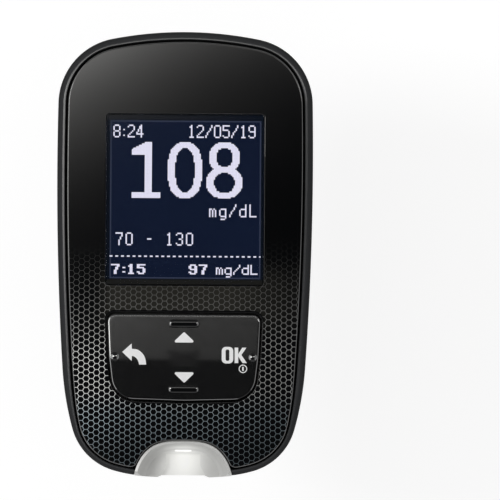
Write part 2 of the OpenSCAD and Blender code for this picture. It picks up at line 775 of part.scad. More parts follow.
module front_bezel() {
    color([0.07, 0.07, 0.075])
        difference() {
            union() {
                loft([
                    rim_level(wall_thickness, shelf_base),
                    rim_level(wall_thickness, seam_height + lip_height + lip_clearance),
                    level(lip_inset, seam_height + lip_height),
                    level(lip_inset, seam_height),
                    level(seam_gap, seam_height),
                    level(0, seam_height + seam_gap),
                    each [for (p = rim_profile) rim_level(p[0], rim_height - p[1])],
                    rim_level(rim_inset, rim_height),
                    rim_level(rim_inset + 0.15, rim_height - 0.15),
                    rim_level(groove_inset - 0.03, rim_height - 0.9),
                    rim_level(groove_inset, shelf_height)
                ]);
                for (p = screw_places)
                    post(p[0], p[1], boss_radius, board_top, shelf_base + hidden_root);
            }
            plate(
                rounded_box(pocket_width, pocket_length, glass_centre, pocket_corner),
                shelf_base - hidden_rise,
                cover_height
            );
            block(
                [-flex_reach, relief_middle],
                [flex_width + 1.6, flex_relief],
                shelf_base - hidden_rise,
                cover_height
            );
            plate(key_outline(key_room), shelf_base - hidden_rise, cover_height);
            lens_blank(lens_gap);
            block(
                [0, connector_middle],
                [connector_width + 2 * connector_gap, connector_length + 0.8],
                shelf_base - hidden_rise,
                cover_height
            );
            plate(
                rounded_box(port_width + 2 * port_gap, 4, case_top, port_gap / 4),
                board_top - port_gap,
                board_top + port_height + port_gap
            );
            for (p = screw_places)
                post(
                    p[0],
                    p[1],
                    screw_radius + screw_clearance,
                    board_top - hidden_rise,
                    board_base + screw_length + hidden_root
                );
        }
}

module front_cover() {
    color([0.03, 0.03, 0.035])
        difference() {
            loft([
                rim_level(cover_inset, cover_base),
                rim_level(cover_inset, cover_height - cover_bevel),
                rim_level(cover_inset + cover_bevel * 0.3, cover_height - cover_bevel * 0.3),
                rim_level(cover_inset + cover_bevel, cover_height)
            ]);
            plate(
                rounded_box(window_width, window_length, window_centre, window_corner),
                cover_base - hidden_rise,
                cover_height + hidden_rise
            );
            plate(
                rounded_box(
                    flange_width, flange_length, window_centre, pocket_corner, window_gap
                ),
                cover_base - hidden_rise,
                flange_top + 0.05
            );
            plate(key_outline(key_gap), cover_base - hidden_rise, cover_height + hidden_rise);
            plate(
                lens_outline(lens_reach + lens_cover_gap, lens_depth + lens_cover_gap),
                cover_base - hidden_rise,
                cover_height + hidden_rise
            );
        }
}

module cover_adhesive() {
    color([0.15, 0.15, 0.15])
        difference() {
            plate(
                flat(rim_level(cover_inset + adhesive_inset - lens_cover_gap, 0)),
                shelf_height,
                cover_base
            );
            plate(
                rounded_box(pocket_width + 1, pocket_length + 1, glass_centre, pocket_corner),
                shelf_height - hidden_rise,
                cover_height
            );
            block(
                [-flex_reach, relief_middle],
                [flex_width + 2.4, flex_relief + 1],
                shelf_height - hidden_rise,
                cover_height
            );
            plate(key_outline(key_room + 0.2), shelf_height - hidden_rise, cover_height);
            plate(
                lens_outline(lens_reach + adhesive_inset, lens_depth + adhesive_inset),
                shelf_height - hidden_rise,
                cover_height
            );
            block(
                [0, connector_middle],
                [connector_width + 1.4, connector_length + 1.4],
                shelf_height - hidden_rise,
                cover_height
            );
        }
}

module display_window() {
    color([0.1, 0.12, 0.16])
        union() {
            plate(
                rounded_box(pane_width, pane_length, window_centre, window_corner - window_gap),
                flange_top - hidden_root,
                pane_top
            );
            plate(
                rounded_box(flange_width, flange_length, window_centre, pocket_corner),
                cover_base,
                flange_top
            );
        }
}

module display_gasket() {
    color([0.12, 0.12, 0.12])
        difference() {
            plate(
                rounded_box(flange_width - 0.2, flange_length - 0.2, window_centre, 0.4),
                gasket_base,
                cover_base
            );
            plate(
                rounded_box(
                    flange_width - 2 * gasket_band, flange_length - 2 * gasket_band,
                    window_centre, 0.4
                ),
                gasket_base - hidden_rise,
                cover_base + hidden_rise
            );
        }
}

module display_polariser() {
    color([0.06, 0.09, 0.2])
        block(
            [0, front_glass_centre],
            [glass_width - 2 * film_inset, front_glass_length - 2 * film_inset],
            glass_top,
            gasket_base
        );
}

module display_front_glass() {
    color([0.6, 0.65, 0.7])
        block(
            [0, front_glass_centre],
            [glass_width, front_glass_length],
            front_glass_base,
            glass_top
        );
}

module display_rear_glass() {
    color([0.55, 0.6, 0.65])
        block([0, glass_centre], [glass_width, glass_length], rear_glass_base, front_glass_base);
}

module display_backlight() {
    color([0.92, 0.92, 0.9])
        block(
            [0, glass_centre],
            [glass_width, backlight_length],
            board_top,
            rear_glass_base - backlight_gap
        );
}

module display_flex_cable() {
    color([0.75, 0.45, 0.12])
        strip_yz(
            [
                [glass_end - glass_ledge + 0.5, front_glass_base + flex_thickness / 2],
                [glass_end + 0.4, front_glass_base + flex_thickness / 2],
                [glass_end + 0.95, front_glass_base - 0.25],
                [glass_end + 1.2, front_glass_base - 0.9],
                [glass_end + 1.2, board_top + 1],
                [glass_end + 1.45, board_top + 0.4],
                [glass_end + 2, board_top + flex_thickness / 2],
                [glass_end + 4, board_top + flex_thickness / 2]
            ],
            flex_thickness,
            -flex_reach,
            flex_width
        );
}

module rocker_key() {
    color([0.05, 0.05, 0.055])
        difference() {
            union() {
                difference() {
                    union() {
                        loft([
                            raised(key_outline(0), key_flange_base + 0.1),
                            raised(key_outline(0), key_height - key_bevel),
                            raised(key_outline(-key_bevel * 0.3), key_height - key_bevel * 0.3),
                            raised(key_outline(-key_bevel), key_height)
                        ]);
                        plate(key_outline(key_flange), key_flange_base, key_flange_top);
                    }
                    plate(
                        key_outline(-key_side_wall),
                        key_flange_base - hidden_rise,
                        key_ceiling
                    );
                }
                for (p = press_places)
                    post(
                        p[0],
                        p[1],
                        plunger_radius,
                        column_height + press_travel,
                        key_ceiling + hidden_root
                    );
                for (side = [-1, 1])
                    block(
                        [0, pivot_centre + side * ear_y],
                        [ear_width, ear_thickness],
                        pivot_height - ear_width / 2,
                        key_ceiling + hidden_root
                    );
                for (y = [upper_bar, lower_bar]) {
                    block(
                        [0, y],
                        [bar_length - bar_width, bar_width],
                        key_height - hidden_root,
                        key_height + bar_rise
                    );
                    for (side = [-1, 1])
                        post(
                            side * (bar_length - bar_width) / 2,
                            y,
                            bar_width / 2,
                            key_height - hidden_root,
                            key_height + bar_rise
                        );
                }
                for (side = [-1, 1])
                    intersection() {
                        translate([
                            side * dot_reach,
                            pivot_centre,
                            key_height + bar_rise - dot_ball
                        ])
                            sphere(r = dot_ball, $fn = 48);
                        post(
                            side * dot_reach,
                            pivot_centre,
                            dot_radius + hidden_root,
                            key_height - hidden_root,
                            key_height + bar_rise + hidden_rise
                        );
                    }
            }
            for (side = [-1, 1])
                rod_y(
                    0,
                    pivot_centre + side * ear_y,
                    pivot_height,
                    journal_radius + journal_clearance,
                    ear_thickness + 0.4
                );
        }
}

module rocker_yoke() {
    color([0.85, 0.84, 0.8])
        union() {
            block(
                [0, pivot_centre],
                [yoke_length, yoke_width],
                pivot_height - yoke_thickness / 2,
                pivot_height + yoke_thickness / 2
            );
            rod_x(0, pivot_centre, pivot_height, journal_radius, yoke_length + 2 * journal_length);
            rod_y(0, pivot_centre, pivot_height, journal_radius, yoke_width + 2 * journal_length);
        }
}

module key_mat() {
    color([0.75, 0.76, 0.78])
        difference() {
            union() {
                plate(key_outline(-mat_inset), board_top, board_top + mat_thickness);
                for (p = press_places)
                    post(p[0], p[1], column_radius, board_top, column_height);
            }
            for (p = press_places)
                post(
                    p[0],
                    p[1],
                    dome_radius + 0.1,
                    board_top - hidden_rise,
                    board_top + mat_thickness - 0.1
                );
        }
}

module key_domes() {
    color([0.75, 0.75, 0.72])
        for (p = press_places)
            translate([p[0], p[1], board_top])
                rotate_extrude($fn = 48)
                    polygon(concat(
                        [for (t = [0 : 0.25 : 1])
                            [dome_radius * t, dome_height * (1 - t * t)]],
                        [for (t = [0.8, 0.55, 0.3, 0])
                            [dome_radius * t, (dome_height - 0.1) * (1 - t * t / 0.64)]]
                    ));
}

module chassis_frame() {
    color([0.88, 0.88, 0.86])
        difference() {
            union() {
                difference() {
                    block(
                        [0, glass_centre],
                        [frame_width, frame_length],
                        board_top,
                        chassis_top
                    );
                    block(
                        [0, glass_centre],
                        [pocket_width, pocket_length],
                        board_top - hidden_rise,
                        chassis_top + hidden_rise
                    );
                    block(
                        [-flex_reach, relief_middle],
                        [flex_width + 1, flex_relief],
                        board_top - hidden_rise,
                        chassis_top + hidden_rise
                    );
                }
                difference() {
                    plate(key_outline(low_frame_wall), board_top, chassis_low_top);
                    plate(key_outline(0), board_top - hidden_rise, chassis_low_top + hidden_rise);
                    block(
                        [0, connector_back + connector_gap - case_length / 2],
                        [case_width, case_length],
                        board_top - hidden_rise,
                        chassis_low_top + hidden_rise
                    );
                    block(
                        [0, key_foot],
                        [2 * contact_pitch + contact_width + 1, 3],
                        board_top - hidden_rise,
                        chassis_low_top + hidden_rise
                    );
                }
                for (side = [-1, 1]) {
                    block(
                        [side * ear_x, (glass_foot + key_foot) / 2 - 0.4],
                        [ear_thickness, glass_foot - key_foot + 0.4],
                        board_top + mat_thickness + 0.05,
                        chassis_low_top
                    );
                    block(
                        [side * ear_x, pivot_centre],
                        [ear_thickness, ear_width],
                        chassis_low_top - hidden_root,
                        pivot_height + ear_width / 2 - 0.3
                    );
                }
            }
            for (side = [-1, 1])
                rod_x(
                    side * ear_x,
                    pivot_centre,
                    pivot_height,
                    journal_radius + journal_clearance,
                    ear_thickness + 0.4
                );
            plate(
                rounded_box(pocket_width, pocket_length, glass_centre, pocket_corner),
                board_top - hidden_rise,
                chassis_top + hidden_rise
            );
            for (p = screw_places)
                post(
                    p[0],
                    p[1],
                    boss_radius + boss_gap,
                    board_top - hidden_rise,
                    chassis_top + hidden_rise
                );
        }
}

module strip_port_lens() {
    color([0.72, 0.72, 0.7])
        difference() {
            intersection() {
                lens_blank(0);
                loft([
                    level(-lens_proud, lens_base - hidden_rise),
                    each [for (p = lens_lean) level(p[0] - lens_proud, board_top + p[1])],
                    level(lens_lip - lens_proud, lens_height)
                ]);
            }
            loft([
                each [for (p = scoop_profile) scoop_level(p[0], p[1], scoop_floor + p[2])],
                scoop_level(lens_lip - 0.05, lens_lip - 0.15, lens_height - 1.3),
                scoop_level(lens_lip / 2, lens_lip / 2, lens_height - 0.15),
                scoop_level(lens_lip / 3, lens_lip / 3, lens_height + hidden_root)
            ]);
            plate(
                [
                    [-channel_width / 2, lens_top - slot_wall],
                    [channel_width / 2, lens_top - slot_wall],
                    [channel_width / 2, flare_start - case_top],
                    [channel_mouth / 2, flare_end - case_top],
                    [channel_mouth / 2, -case_top - lens_setback],
                    [-channel_mouth / 2, -case_top - lens_setback],
                    [-channel_mouth / 2, flare_end - case_top],
                    [-channel_width / 2, flare_start - case_top]
                ],
                channel_floor,
                scoop_floor + scoop_profile[2][2] / 2
            );
            block(
                [0, lens_top],
                [channel_width, lens_depth],
                channel_floor,
                channel_floor + slot_height
            );
            block(
                [0, -case_top - 2],
                [channel_mouth, 4.1],
                lens_base - hidden_rise,
                channel_floor + hidden_rise
            );
        }
}

module strip_connector() {
    color([0.1, 0.1, 0.11])
        difference() {
            block(
                [0, connector_middle],
                [connector_width, connector_length],
                board_top,
                connector_top
            );
            block(
                [0, connector_front],
                [channel_width, 2 * connector_slot_depth],
                channel_floor,
                channel_floor + slot_height
            );
            for (i = [-1, 0, 1])
                block(
                    [i * contact_pitch, connector_middle],
                    [contact_width + 0.3, connector_length + hidden_rise],
                    channel_floor + 0.1,
                    channel_floor + slot_height + 0.45
                );
        }
}

module strip_contacts() {
    spring_line = [
        [connector_front + 0.5, channel_floor + slot_height + 0.15],
        [connector_front + 1.3, channel_floor + 0.3],
        [connector_front + 2, channel_floor + 0.55],
        [connector_back - 0.6, channel_floor + slot_height + 0.2],
        [connector_back + 0.4, channel_floor + slot_height + 0.2],
        [connector_back + 0.7, channel_floor + slot_height - 0.2],
        [connector_back + 0.7, board_top + 0.3],
        [connector_back + 1, board_top + contact_thickness / 2],
        [connector_back + 1.6, board_top + contact_thickness / 2]
    ];
    color([0.85, 0.68, 0.3])
        for (i = [-1, 0, 1])
            strip_yz(spring_line, contact_thickness, i * contact_pitch, contact_width);
}

module port_lights() {
    color([0.95, 0.93, 0.8])
        for (side = [-1, 1])
            block(
                [side * light_reach, board_foot + light_length],
                [light_width, light_length],
                board_top,
                board_top + light_height
            );
}

module main_board() {
    color([0.05, 0.25, 0.12])
        difference() {
            intersection() {
                plate(flat(level(board_inset, 0)), board_base, board_top);
                block(
                    [0, board_foot + case_top],
                    [case_width, case_length],
                    board_base - hidden_rise,
                    board_top + hidden_rise
                );
            }
            for (p = screw_places)
                post(
                    p[0],
                    p[1],
                    screw_radius + screw_board_clearance,
                    board_base - hidden_rise,
                    board_top + hidden_rise
                );
        }
}

module processor_chip() {
    color([0.08, 0.08, 0.08])
        block(
            [chip_reach, battery_centre],
            [processor_size, processor_size],
            board_base - processor_thickness,
            board_base
        );
}

module memory_chip() {
    color([0.08, 0.08, 0.08])
        block([-chip_reach, battery_centre], [5, 4], board_base - can_height, board_base);
}

module clock_crystal() {
    color([0.75, 0.75, 0.77])
        block(
            [chip_reach, battery_centre + 2 * processor_size],
            [3.2, 1.5],
            board_base - can_height,
            board_base
        );
}

module small_components() {
    color([0.6, 0.5, 0.35])
        union() {
            for (x = [-8, -6, -4, 4, 10])
                block(
                    [x, battery_centre + 18],
                    [resistor_length, resistor_width],
                    board_base - resistor_height,
                    board_base
                );
            for (x = [-8, -5, 4, 6, 8])
                block(
                    [x, battery_centre + 11],
                    [resistor_width, resistor_length],
                    board_base - resistor_height,
                    board_base
                );
            for (x = [-4, -2, 2, 4])
                block(
                    [x, key_foot + resistor_length],
                    [resistor_length, resistor_width],
                    board_base - resistor_height,
                    board_base
                );
            for (x = [5, 8, 11])
                block(
                    [x, case_top - buzzer_setback],
                    [1.5 * resistor_length, 1.5 * resistor_width],
                    board_base - resistor_height,
                    board_base
                );
        }
}

module buzzer() {
    color([0.12, 0.12, 0.12])
        union() {
            post(
                -buzzer_reach,
                case_top - buzzer_setback,
                buzzer_radius,
                board_base - buzzer_height,
                board_base
            );
            post(
                -buzzer_reach,
                case_top - buzzer_setback,
                buzzer_radius / 4,
                board_base - buzzer_height - 0.1,
                board_base
            );
        }
}

module board_screws() {
    color([0.7, 0.7, 0.72])
        for (p = screw_places)
            difference() {
                union() {
                    post(
                        p[0],
                        p[1],
                        screw_head_radius,
                        board_base - screw_head_height,
                        board_base
                    );
                    post(
                        p[0],
                        p[1],
                        screw_radius,
                        board_base - hidden_root,
                        board_base + screw_length
                    );
                }
                for (turn = [0, 90])
                    translate([p[0], p[1], board_base - screw_head_height])
                        rotate([0, 0, turn])
                            cube(
                                [1.2 * screw_head_radius, 0.35, screw_head_height],
                                center = true
                            );
            }
}

module data_port_shell() {
    color([0.78, 0.78, 0.8])
        difference() {
            block(
                [0, port_middle],
                [port_width, port_length],
                board_top,
                board_top + port_height
            );
            block(
                [0, port_middle + 0.4],
                [port_width - 2 * port_wall, port_length],
                board_top + port_wall,
                board_top + port_height - port_wall
            );
        }
}

module data_port_tongue() {
    color([0.06, 0.06, 0.06])
        union() {
            block(
                [0, port_middle - port_length / 2 + 0.9],
                [port_width - 2 * port_wall, 1],
                board_top + port_wall,
                board_top + port_height - port_wall
            );
            block(
                [0, port_middle - 0.2],
                [tongue_width, port_length - 2.2],
                port_centre_height + 0.05,
                port_centre_height + 0.05 + tongue_thickness
            );
        }
}

module battery_contacts_negative() {
    color([0.8, 0.78, 0.7])
        for (y = cell_centres)
            strip_yz(
                [
                    [y + 3.4, cell_top + 0.5],
                    [y + 1.2, cell_top + 0.15],
                    [y - 3, cell_top + 0.95],
                    [y - leaf_tail + 0.2, cell_top + 0.95],
                    [y - leaf_tail, cell_top + 1.2],
                    [y - leaf_tail, board_base]
                ],
                leaf_thickness,
                0,
                leaf_width
            );
}

module battery_contacts_positive() {
    color([0.8, 0.78, 0.7])
        for (y = cell_centres)
            strip_xz(
                [
                    [contact_side, cell_base + 0.5],
                    [cell_radius + 0.15, cell_base + 1.4],
                    [cell_radius + 0.35, cell_base + 2.4],
                    [contact_side, cell_top],
                    [contact_side, board_base]
                ],
                leaf_thickness,
                y,
                leaf_width
            );
}

module coin_cell(y) {
    post(0, y, cell_radius, cell_base, cell_top - 0.25);
    post(0, y, cell_radius - 0.9, cell_base, cell_top);
}

module battery_cell_upper() {
    color([0.8, 0.8, 0.82])
        coin_cell(cell_centres[0]);
}

module battery_cell_lower() {
    color([0.8, 0.8, 0.82])
        coin_cell(cell_centres[1]);
}

module rear_housing() {
    color([0.06, 0.06, 0.065])
        difference() {
            union() {
                loft([
                    level(rest_inset, 0),
                    each [for (p = back_profile) level(p[0], p[1])],
                    level(0, seam_height - 0.4),
                    level(0.15, seam_height - seam_gap),
                    level(lip_inset + lip_clearance, seam_height - seam_gap),
                    level(lip_inset + lip_clearance, seam_height + lip_height - seam_gap),
                    level(wall_thickness - 0.1, seam_height + lip_height - seam_gap),
                    level(wall_thickness - 0.05, seam_height - 1.5),
                    each [for (p = inside_profile) level(wall_thickness + p[0], p[1])],
                    level(rest_inset + 0.5, floor_thickness)
                ]);
                plate(
                    rounded_box(box_width, box_length, battery_centre, box_corner),
                    floor_thickness / 2,
                    pocket_ceiling + ceiling_thickness
                );
            }
            plate(
                rounded_box(door_width, door_length, battery_centre, door_corner, door_gap),
                -hidden_rise,
                ledge_height
            );
            plate(
                rounded_box(
                    2 * pocket_radius, pocket_span, battery_centre, pocket_radius - 0.01
                ),
                ledge_height - hidden_rise,
                pocket_ceiling
            );
            for (side = [-1, 1]) {
                block(
                    [side * hook_reach, door_upper_edge - hook_swing / 2 + hook_overlap + 1.1],
                    [hook_width + 0.8, hook_swing],
                    floor_thickness - 0.05,
                    hook_top + 0.9
                );
                block(
                    [side * hook_reach, door_upper_edge + door_gap - hook_passage / 2],
                    [hook_width + 0.8, hook_passage],
                    ledge_height - hidden_rise,
                    floor_thickness + hook_gap
                );
            }
            for (y = cell_centres) {
                block(
                    [pocket_radius + 0.4, y],
                    [2.6, leaf_width + 0.8],
                    ledge_height + 0.1,
                    pocket_ceiling + ceiling_thickness + hidden_rise
                );
                block(
                    [0, y - leaf_tail],
                    [leaf_width + 0.8, 1.2],
                    cell_top,
                    pocket_ceiling + ceiling_thickness + hidden_rise
                );
            }
            plate(
                rounded_box(label_width, label_length, label_centre, label_corner, 0.2),
                -hidden_rise,
                label_recess
            );
        }
}

module rear_label() {
    color([0.85, 0.85, 0.86])
        plate(
            rounded_box(label_width, label_length, label_centre, label_corner),
            label_recess - label_thickness,
            label_recess
        );
}

module battery_door() {
    color([0.06, 0.06, 0.065])
        difference() {
            union() {
                plate(
                    rounded_box(door_width, door_length, battery_centre, door_corner),
                    door_base,
                    door_top
                );
                for (side = [-1, 1]) {
                    block(
                        [side * hook_reach, door_upper_edge - 0.9],
                        [hook_width, 1.2],
                        door_top - 0.1,
                        hook_top
                    );
                    block(
                        [side * hook_reach, door_upper_edge + (hook_overlap - 1.5) / 2],
                        [hook_width, hook_overlap + 1.5],
                        hook_base,
                        hook_top
                    );
                }
            }
            block(
                [0, door_lower_edge + (latch_length + latch_gap) / 2 - 1],
                [latch_width + 2 * latch_gap, latch_length + latch_gap + 2],
                door_base - hidden_rise,
                door_top + hidden_rise
            );
        }
}

module battery_door_latch() {
    color([0.06, 0.06, 0.065])
        union() {
            block(
                [0, door_lower_edge + latch_length / 2],
                [latch_width, latch_length],
                door_base + 0.1,
                door_top - 0.2
            );
            for (i = [0 : 2])
                block(
                    [0, door_lower_edge + 0.7 + i * 0.9],
                    [latch_width - 2, 0.4],
                    door_base,
                    door_base + 0.3
                );
        }
}

front_bezel();
front_cover();
cover_adhesive();
display_window();
display_gasket();
display_polariser();
display_front_glass();
display_rear_glass();
display_backlight();
display_flex_cable();
rocker_key();
rocker_yoke();
key_mat();
key_domes();
chassis_frame();
strip_port_lens();
strip_connector();
strip_contacts();
port_lights();
main_board();
processor_chip();
memory_chip();
clock_crystal();
small_components();
buzzer();
board_screws();
data_port_shell();
data_port_tongue();
battery_contacts_negative();
battery_contacts_positive();
battery_cell_upper();
battery_cell_lower();
rear_housing();
rear_label();
battery_door();
battery_door_latch();
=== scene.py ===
import math

import bmesh
import bpy
import numpy as np
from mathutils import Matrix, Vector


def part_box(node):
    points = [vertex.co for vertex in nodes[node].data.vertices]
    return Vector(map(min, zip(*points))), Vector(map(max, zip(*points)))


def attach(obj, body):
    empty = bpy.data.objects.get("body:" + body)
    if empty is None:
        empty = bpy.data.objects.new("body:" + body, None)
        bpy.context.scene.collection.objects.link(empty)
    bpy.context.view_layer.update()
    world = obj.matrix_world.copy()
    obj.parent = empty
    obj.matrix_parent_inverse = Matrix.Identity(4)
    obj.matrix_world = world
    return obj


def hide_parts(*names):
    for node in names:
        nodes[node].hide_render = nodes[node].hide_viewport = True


# Blood glucose meter lying on its back: display up, strip port towards -Y.
# Shapes are worked out in millimetres and become metres when a mesh is made.
mm = 0.001
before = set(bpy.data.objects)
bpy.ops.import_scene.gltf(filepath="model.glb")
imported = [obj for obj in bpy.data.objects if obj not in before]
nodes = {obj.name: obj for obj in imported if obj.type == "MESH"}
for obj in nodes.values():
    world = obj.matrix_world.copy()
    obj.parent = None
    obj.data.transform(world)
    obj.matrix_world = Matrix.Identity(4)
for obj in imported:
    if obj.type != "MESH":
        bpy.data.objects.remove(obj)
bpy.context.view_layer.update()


def nodeBox(name):
    low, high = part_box(name)
    return np.array(low) / mm, np.array(high) / mm


bezelLow, bezelHigh = nodeBox("front_bezel")
caseWidth = bezelHigh[0] - bezelLow[0]
caseLength = bezelHigh[1] - bezelLow[1]
caseTop = caseLength / 2
print("frame loaded:", len(nodes), "nodes, case", round(caseWidth, 2), "x", round(caseLength, 2))


def makeMesh(name, points, faces, materials=()):
    mesh = bpy.data.meshes.new(name)
    mesh.from_pydata((np.asarray(points, float) * mm).tolist(), [], [list(map(int, f)) for f in faces])
    piece = bpy.data.objects.new(name, mesh)
    bpy.context.scene.collection.objects.link(piece)
    for material in materials:
        mesh.materials.append(material)
    work = bmesh.new()
    work.from_mesh(mesh)
    bmesh.ops.recalc_face_normals(work, faces=work.faces)
    work.to_mesh(mesh)
    work.free()
    return piece


def settle(piece):
    # Writes the modifiers' result into the piece's own mesh
    shaped = bpy.data.meshes.new_from_object(
        piece.evaluated_get(bpy.context.evaluated_depsgraph_get()))
    old = piece.data
    piece.modifiers.clear()
    piece.data = shaped
    bpy.data.meshes.remove(old)


def carve(piece, cutters, how="DIFFERENCE"):
    for cutter in cutters:
        cut = piece.modifiers.new("cut", "BOOLEAN")
        cut.operation = how
        cut.solver = "EXACT"
        cut.object = cutter
    settle(piece)
    for cutter in cutters:
        bpy.data.objects.remove(cutter)
    return piece


def soften(piece, width, segments, angle):
    edge = piece.modifiers.new("edge", "BEVEL")
    edge.width = width * mm
    edge.segments = segments
    edge.limit_method = "ANGLE"
    edge.angle_limit = math.radians(angle)
    edge.use_clamp_overlap = True
    settle(piece)
    return piece


def smooth(piece, angle=32):
    # Flat faces keep their own direction right up to a rounded edge
    mesh = piece.data
    mesh.polygons.foreach_set("use_smooth", np.ones(len(mesh.polygons), bool))
    mesh.set_sharp_from_angle(angle=math.radians(angle))
    even = piece.modifiers.new("even", "WEIGHTED_NORMAL")
    even.keep_sharp = True
    settle(piece)
    return piece


def fit(piece, body, slotName, *standsFor):
    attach(piece, body)
    if standsFor:
        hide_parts(*standsFor)
    return piece


def gridQuads(rows, cols, wrapRows=False, wrapCols=True):
    # Four corners of every cell of a grid numbered row by row
    i = np.arange(rows if wrapRows else rows - 1)[:, None]
    j = np.arange(cols if wrapCols else cols - 1)[None, :]
    nextI, nextJ = (i + 1) % rows, (j + 1) % cols
    corners = [i * cols + j, i * cols + nextJ, nextI * cols + nextJ, nextI * cols + j]
    return np.stack(np.broadcast_arrays(*corners), -1).reshape(-1, 4)


def stack(name, rings, materials=(), closed=False):
    # Surface through rings of equal count, from the first ring to the last, capped unless it closes on itself
    rings = np.asarray(rings, float)
    levels, count = rings.shape[:2]
    faces = gridQuads(levels, count, wrapRows=closed).tolist()
    if not closed:
        faces.append(list(range(count))[::-1])
        faces.append(list(range((levels - 1) * count, levels * count)))
    return makeMesh(name, rings.reshape(-1, 3), faces, materials)


def atHeight(loop, z):
    return np.column_stack([loop, np.full(len(loop), float(z))])


def plate(name, loop, low, high):
    return stack(name, [atHeight(loop, low), atHeight(loop, high)])


def box(name, middle, size, low, high):
    return plate(name, np.array([[-1, 1], [1, 1], [1, -1], [-1, -1]]) * np.array(size) / 2 + middle, low, high)


def movedIn(loop, distance):
    # Each point moved to the inner side of a clockwise loop, square to the line between its neighbours
    along = np.roll(loop, -1, 0) - np.roll(loop, 1, 0)
    along /= np.linalg.norm(along, axis=1)[:, None]
    return loop + np.column_stack([along[:, 1], -along[:, 0]]) * distance


def evenly(loop, count, closed=True):
    # The same line with its points at equal distances
    line = np.vstack([loop, loop[:1]]) if closed else loop
    run = np.concatenate([[0], np.cumsum(np.linalg.norm(np.diff(line, axis=0), axis=1))])
    at = np.linspace(0, run[-1], count, endpoint=not closed)
    return np.column_stack([np.interp(at, run, line[:, k]) for k in range(line.shape[1])])


def roundedLoop(corners, radii, grow=0.0, steps=10):
    # Clockwise convex outline: at each corner an arc that touches both edges, all moved out by grow
    corners = np.asarray(corners, float)
    before, after = np.roll(corners, 1, 0), np.roll(corners, -1, 0)

    def squareTo(a, b):
        d = (b - a) / np.linalg.norm(b - a, axis=1)[:, None]
        return np.column_stack([-d[:, 1], d[:, 0]])

    first, second = squareTo(before, corners), squareTo(corners, after)
    radii = np.asarray(radii, float)[:, None]
    centres = corners - radii * (first + second) / (1 + np.sum(first * second, 1))[:, None]
    start = np.arctan2(first[:, 1], first[:, 0])
    drop = np.mod(np.arctan2(second[:, 1], second[:, 0]) - start, 2 * np.pi) - 2 * np.pi
    drop = np.where(drop < -2 * np.pi + 1e-9, 0, drop)
    t = start[:, None] + drop[:, None] * np.linspace(0, 1, steps + 1)[None, :]
    points = centres[:, None, :] + (radii + grow)[:, :, None] * np.stack([np.cos(t), np.sin(t)], -1)
    return points.reshape(-1, 2)


def boxLoop(width, length, middle, radius, grow=0.0, steps=8, across=0.0):
    x, y = width / 2, length / 2
    corners = np.array([[-x, y], [x, y], [x, -y], [-x, -y]]) + [across, middle]
    return roundedLoop(corners, [radius] * 4, grow, steps)


def smoothRun(knots, perSpan):
    # Catmull-Rom curve through the knots, with the end knots doubled
    knots = np.asarray(knots, float)
    k = np.vstack([2 * knots[:1] - knots[1:2], knots, 2 * knots[-1:] - knots[-2:-1]])
    t = np.linspace(0, 1, perSpan, endpoint=False)[None, :, None]
    a, b, c, d = (k[i:len(k) - 3 + i][:, None, :] for i in range(4))
    spans = 0.5 * (2 * b + (c - a) * t + (2 * a - 5 * b + 4 * c - d) * t ** 2
                   + (3 * b - a - 3 * c + d) * t ** 3)
    return np.vstack([spans.reshape(-1, knots.shape[1]), knots[-1:]])


caseSettings = dict(
    arcs=[(67.9, 11.35), (12.03, 77.43), (555.9, 4.94), (54.2, 11.9), (10.81, 58.01), (24.9, 12.37)],
    footRatio=0.72,  # share of the rim's insets that is left at the foot
    narrowFrom=-21.0,
    narrowTo=-35.0,
    points=520,
)


def caseOutline(s):
    # Arcs of (radius, turn) from the top middle clockwise to the foot middle, mirrored, then stretched to size
    x, y, turned = 0.0, 0.0, 0.0
    runs = []
    for radius, turn in s["arcs"]:
        t = np.radians(np.linspace(turned, turned + turn, 60, endpoint=False))
        a = math.radians(turned)
        runs.append(np.column_stack([x + radius * (np.sin(t) - math.sin(a)),
                                     y + radius * (np.cos(t) - math.cos(a)), t]))
        b = math.radians(turned + turn)
        x += radius * (math.sin(b) - math.sin(a))
        y += radius * (math.cos(b) - math.cos(a))
        turned += turn
    a, last = math.radians(turned), x / math.sin(math.radians(180 - turned))
    t = np.linspace(a, math.pi, 24)
    runs.append(np.column_stack([x + last * (np.sin(t) - math.sin(a)),
                                 y + last * (np.cos(t) - math.cos(a)), t]))
    half = evenly(np.vstack(runs), s["points"] // 2 + 1, closed=False)
    half[0, 0] = half[-1, 0] = 0
    other = half[-2:0:-1] * [-1, 1, -1]
    whole = np.vstack([half, other])
    scale = np.array([caseWidth / 2 / half[:, 0].max(), caseLength / -half[-1, 1]])
    square = np.column_stack([np.sin(whole[:, 2]), np.cos(whole[:, 2])]) / scale
    square /= np.linalg.norm(square, axis=1)[:, None]
    return whole[:, :2] * scale + [0, caseTop], square


caseLoop, caseSquare = caseOutline(caseSettings)


def levelLoop(inset):
    return caseLoop - caseSquare * inset


def rimLoop(inset, s=caseSettings):
    y = caseLoop[:, 1]
    t = np.clip((s["narrowFrom"] - y) / (s["narrowFrom"] - s["narrowTo"]), 0, 1)
    share = 1 - (1 - s["footRatio"]) * t * t * (3 - 2 * t)
    return caseLoop - caseSquare * (inset * share)[:, None]


